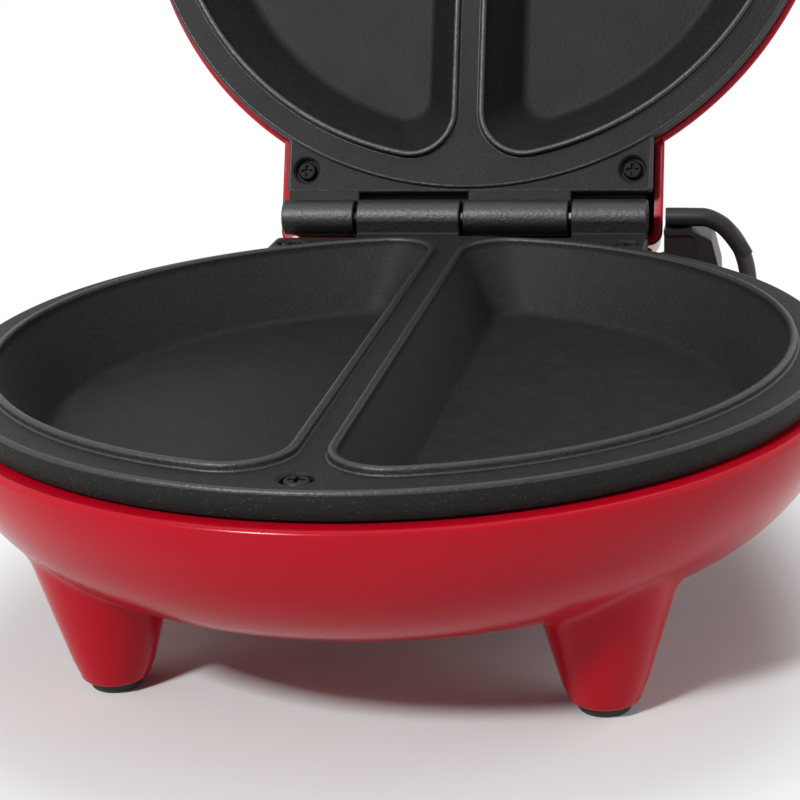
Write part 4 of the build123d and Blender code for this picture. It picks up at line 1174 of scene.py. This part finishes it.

# %% [markdown]
# The red, the coating, the black plastic and the screws were set by comparing renders
# with the photograph; the other finishes have typical values. The upper plate's screws
# get a darker steel than all the others, which are dark steel.

# %% The finishes
finishes = {
    "housing_red": moulded("housing_red", (0.4, 0.001, 0.011), 0.2, 0.08, 0.000012, dust=0.004,
                           Specular_IOR_Level=0.18),
    "plate_coating": non_stick("plate_coating", 0.6, 0.22),
    "barrel_coating": non_stick("barrel_coating", 0.46, 0.6),
    "steel": metal("steel", (0.62, 0.61, 0.6), 0.3, 0.2, 0.00001),
    "screw_steel": metal("screw_steel", (0.035, 0.035, 0.035), 0.5, 0.25, 0.00001, (1.0, 1.0, 1.0)),
    # A darker copy of the screw steel, used only for the upper plate's screws.
    "screw_black": metal("screw_black", (0.012, 0.012, 0.011), 0.55, 0.25, 0.00001, (1.0, 1.0, 1.0)),
    "reflector_metal": metal("reflector_metal", (0.78, 0.78, 0.79), 0.35, 0.2, 0.00002),
    "ceramic_white": moulded("ceramic_white", (0.75, 0.73, 0.68), 0.45, 0.1, 0.00003),
    "wire_sleeve": moulded("wire_sleeve", (0.6, 0.56, 0.5), 0.6, 0.1, 0.00005, grain=4000.0),
    "black_plastic": moulded("black_plastic", (0.011, 0.0105, 0.0105), 0.42, 0.12, 0.00003, dust=0.01,
                             Specular_IOR_Level=0.3),
    "cord_rubber": moulded("cord_rubber", (0.013, 0.013, 0.014), 0.46, 0.14, 0.00003, dust=0.03),
    "foot_rubber": moulded("foot_rubber", (0.016, 0.016, 0.016), 0.62, 0.12, 0.00005, dust=0.05),
    "lens_red": moulded("lens_red", (0.55, 0.01, 0.008), 0.1, 0.04, 0.000005, Transmission_Weight=0.6),
    "lens_green": moulded("lens_green", (0.01, 0.35, 0.04), 0.1, 0.04, 0.000005, Transmission_Weight=0.6),
    "brass_blade": metal("brass_blade", (0.72, 0.52, 0.25), 0.25, 0.2, 0.00001),
}
print(len(finishes), "finishes made")

# %% [markdown]
# Every node of the frame that still shows its own mesh gets a finish here, and so does
# every piece made above. The plates carry two: the coating, and the glossier one for the
# faces that were marked while the skin was drawn.

# %% Dress every piece
SLOTS = {
    "steel": ["hinge_pin", "lower_heating_element", "upper_heating_element", "lower_element_clamps",
              "upper_element_clamps", "lower_thermostat", "upper_thermostat", "lower_thermal_fuse"],
    "screw_steel": ["lower_plate_screws", "lower_reflector_screws", "upper_reflector_screws",
                    "handle_screws", "cord_block_screws"],
    "screw_black": ["upper_plate_screws"],
    "reflector_metal": ["lower_reflector", "upper_reflector"],
    "ceramic_white": ["base_terminal_block", "lid_terminal_block"],
    "wire_sleeve": ["base_element_wires", "lid_element_wires", "supply_leads"],
    "black_plastic": ["lid_handle", "light_bracket", "cord_block", "cord_tie", "plug"],
    "foot_rubber": ["foot_front_left", "foot_front_right", "foot_rear_left", "foot_rear_right"],
    "lens_red": ["power_light_lens"],
    "lens_green": ["ready_light_lens"],
    "brass_blade": ["plug_blades"],
}
for slot_name, names in SLOTS.items():
    for name in names:
        mesh = nodes[name].data
        mesh.materials.clear()
        mesh.materials.append(finishes[slot_name])
made_pieces = (lower_plate, upper_plate, lower_shell, upper_shell, mains_lead, lead_boot)
for piece in made_pieces:
    piece.data.materials.append(finishes[piece["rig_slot"]])
    if piece in (lower_plate, upper_plate):
        piece.data.materials.append(finishes["barrel_coating"])
print(sum(len(names) for names in SLOTS.values()) + len(made_pieces), "pieces dressed")

# %% [markdown]
